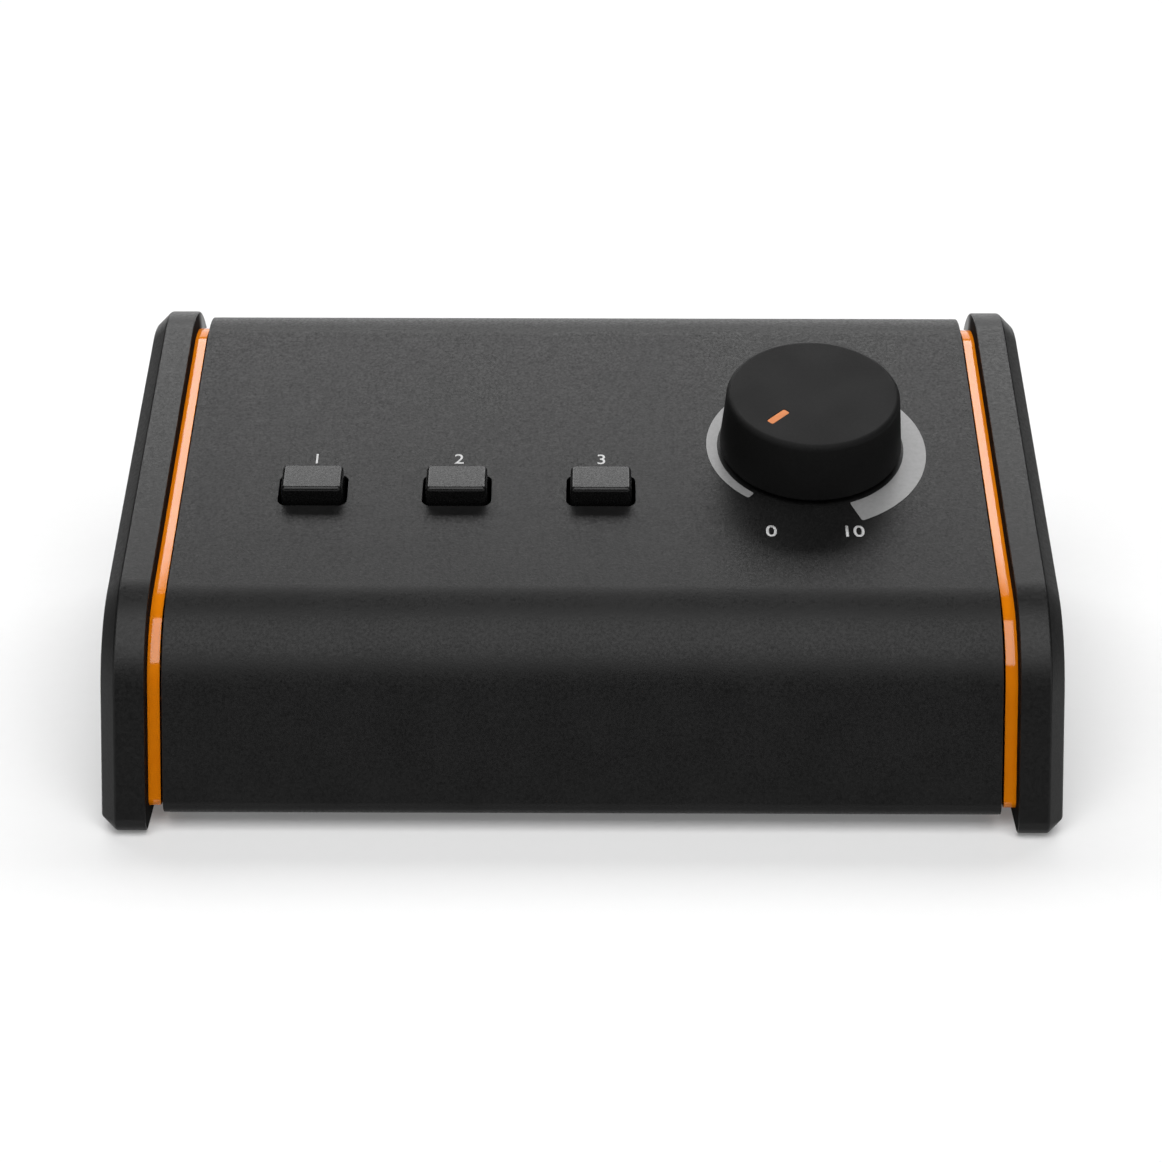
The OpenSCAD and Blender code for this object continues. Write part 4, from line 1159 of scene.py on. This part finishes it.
# %% [markdown]
# ## Floor, light and camera
#
# The object stands on white paper, as in a product photograph. The light of that photograph can
# be read off the object: the glossy orange edge mirrors a bright lamp behind, then nothing, then
# a second lamp overhead, and then nothing again. The same four zones are set up here. A dim
# card behind lights the round rear edge, and two weak lamps at the front corners soften the
# shadows. The paper is lit near the object, where it has to show its shadow, and further out it
# passes into even white. The world round it is plain white to the camera but nearly dark as a
# light, apart from a white band at and under the horizon that only mirrored rays see.

# %% Floor
deselect()
bpy.ops.mesh.primitive_circle_add(vertices=96, radius=6.0, fill_type="NGON")
floor = named("studio_floor")
floor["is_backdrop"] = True
paper = bpy.data.materials.new("white_backdrop_paper")
paper.use_nodes = True
tree = paper.node_tree
tree.nodes.remove(tree.nodes["Principled BSDF"])
where = add_node(tree, "ShaderNodeTexCoord").outputs["Object"]
fibres = add_node(tree, "ShaderNodeTexNoise", {"Scale": 400.0}, {"Vector": where})
lit = add_node(tree, "ShaderNodeBsdfDiffuse")
tint(tree, lit.inputs["Color"], fibres.outputs["Fac"], "#E4E4E4", "#E6E6E6")
away = add_node(tree, "ShaderNodeVectorMath", links={0: where}, operation="LENGTH")
far = add_node(tree, "ShaderNodeMapRange",
               {"From Min": 0.22, "From Max": 0.6, "To Min": 0.15, "To Max": 1.0},
               {"Value": away.outputs["Value"]}, interpolation_type="SMOOTHSTEP")
glow = add_node(tree, "ShaderNodeEmission", {"Strength": 1.0})
blend = add_node(tree, "ShaderNodeMixShader", links={0: far.outputs["Result"],
                                                     1: lit.outputs["BSDF"],
                                                     2: glow.outputs["Emission"]})
tree.links.new(blend.outputs["Shader"], tree.nodes["Material Output"].inputs["Surface"])
floor.data.materials.append(paper)
print("floor:", floor.dimensions.x, "m across")

# %% Lamps
def softbox(name, at, aim, size, radiance):
    """A soft rectangular lamp; its power follows from how bright its face should look."""
    lamp = bpy.data.lights.new(name, "AREA")
    lamp.shape = "RECTANGLE"
    lamp.size, lamp.size_y = size
    lamp.energy = radiance * size[0] * size[1] * 4
    obj = bpy.data.objects.new(name, lamp)
    bpy.context.scene.collection.objects.link(obj)
    obj.location = at
    obj.rotation_euler = (Vector(aim) - Vector(at)).to_track_quat("-Z", "Y").to_euler()
    obj.visible_camera = False
    print(name, round(lamp.energy, 2), "W")


CASE_MIDDLE = (0, 0, 0.03)
CASE_FRONT = (0, -0.035, 0.03)
softbox("rear_softbox", (0, 0.50, 0.63), CASE_MIDDLE, (1.0, 0.25), 4.7)
softbox("rear_card", (0, 0.75, 0.30), CASE_MIDDLE, (0.7, 0.45), 1.2)
softbox("overhead_softbox", (0, -0.394, 0.80), CASE_FRONT, (0.9, 0.76), 2.8)
for side, x in (("left", -0.7), ("right", 0.7)):
    softbox(side + "_softbox", (x, -0.6, 0.45), CASE_MIDDLE, (0.5, 0.5), 1.5)

# %% Surroundings
world = bpy.data.worlds.new("dim_studio_with_a_low_white_sweep")
world.use_nodes = True
bpy.context.scene.world = world
tree = world.node_tree
rays = add_node(tree, "ShaderNodeLightPath")
heading = add_node(tree, "ShaderNodeTexCoord").outputs["Generated"]
height = add_node(tree, "ShaderNodeSeparateXYZ", links={"Vector": heading})
sweep = add_node(tree, "ShaderNodeMapRange",
                 {"From Min": 0.0, "From Max": 0.08, "To Min": 1.0, "To Max": 0.0},
                 {"Value": height.outputs["Z"]}, interpolation_type="SMOOTHSTEP")
mirrored_sweep = add_node(tree, "ShaderNodeMath", links={0: rays.outputs["Is Glossy Ray"],
                                                         1: sweep.outputs["Result"]},
                          operation="MULTIPLY")
seen = add_node(tree, "ShaderNodeMath", links={0: rays.outputs["Is Camera Ray"],
                                               1: mirrored_sweep.outputs["Value"]},
                operation="MAXIMUM")
level = add_node(tree, "ShaderNodeMapRange", {"To Min": 0.03, "To Max": 1.0},
                 {"Value": seen.outputs["Value"]})
tree.links.new(level.outputs["Result"], tree.nodes["Background"].inputs["Strength"])
tree.nodes["Background"].inputs["Color"].default_value = (1, 1, 1, 1)
print("world:", world.name)

# %% [markdown]
# ## Camera
#
# The camera stands where the photographer's did, about 47 cm from the middle of the case, and
# looks down by 26 degrees. Its place was worked out from the outline of the two cheeks.

# %% Camera
CAMERA_AT = (0.0018906, -0.429814, 0.225941)
CAMERA_TURN, CAMERA_DOWN, CAMERA_TILT = 0.30596, 25.7512, 0.0289
camera_data = bpy.data.cameras.new("camera")
camera_data.lens = 92.709
camera_data.sensor_width = 36
camera = bpy.data.objects.new("camera", camera_data)
bpy.context.scene.collection.objects.link(camera)
camera.matrix_world = (Matrix.Translation(CAMERA_AT)
                       @ Matrix.Rotation(math.radians(CAMERA_TURN), 4, "Z")
                       @ Matrix.Rotation(math.radians(90 - CAMERA_DOWN), 4, "X")
                       @ Matrix.Rotation(math.radians(CAMERA_TILT), 4, "Z"))
bpy.context.scene.camera = camera
bpy.context.scene.view_settings.view_transform = "Standard"
print("camera at", CAMERA_AT, "m")

# %% Size of the dressed model
dressed_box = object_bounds()
for low, high, cad_low, cad_high in zip(*dressed_box, *cad_box):
    print("box", [round(c / MM, 2) for c in (low, high, cad_low, cad_high)], "mm")
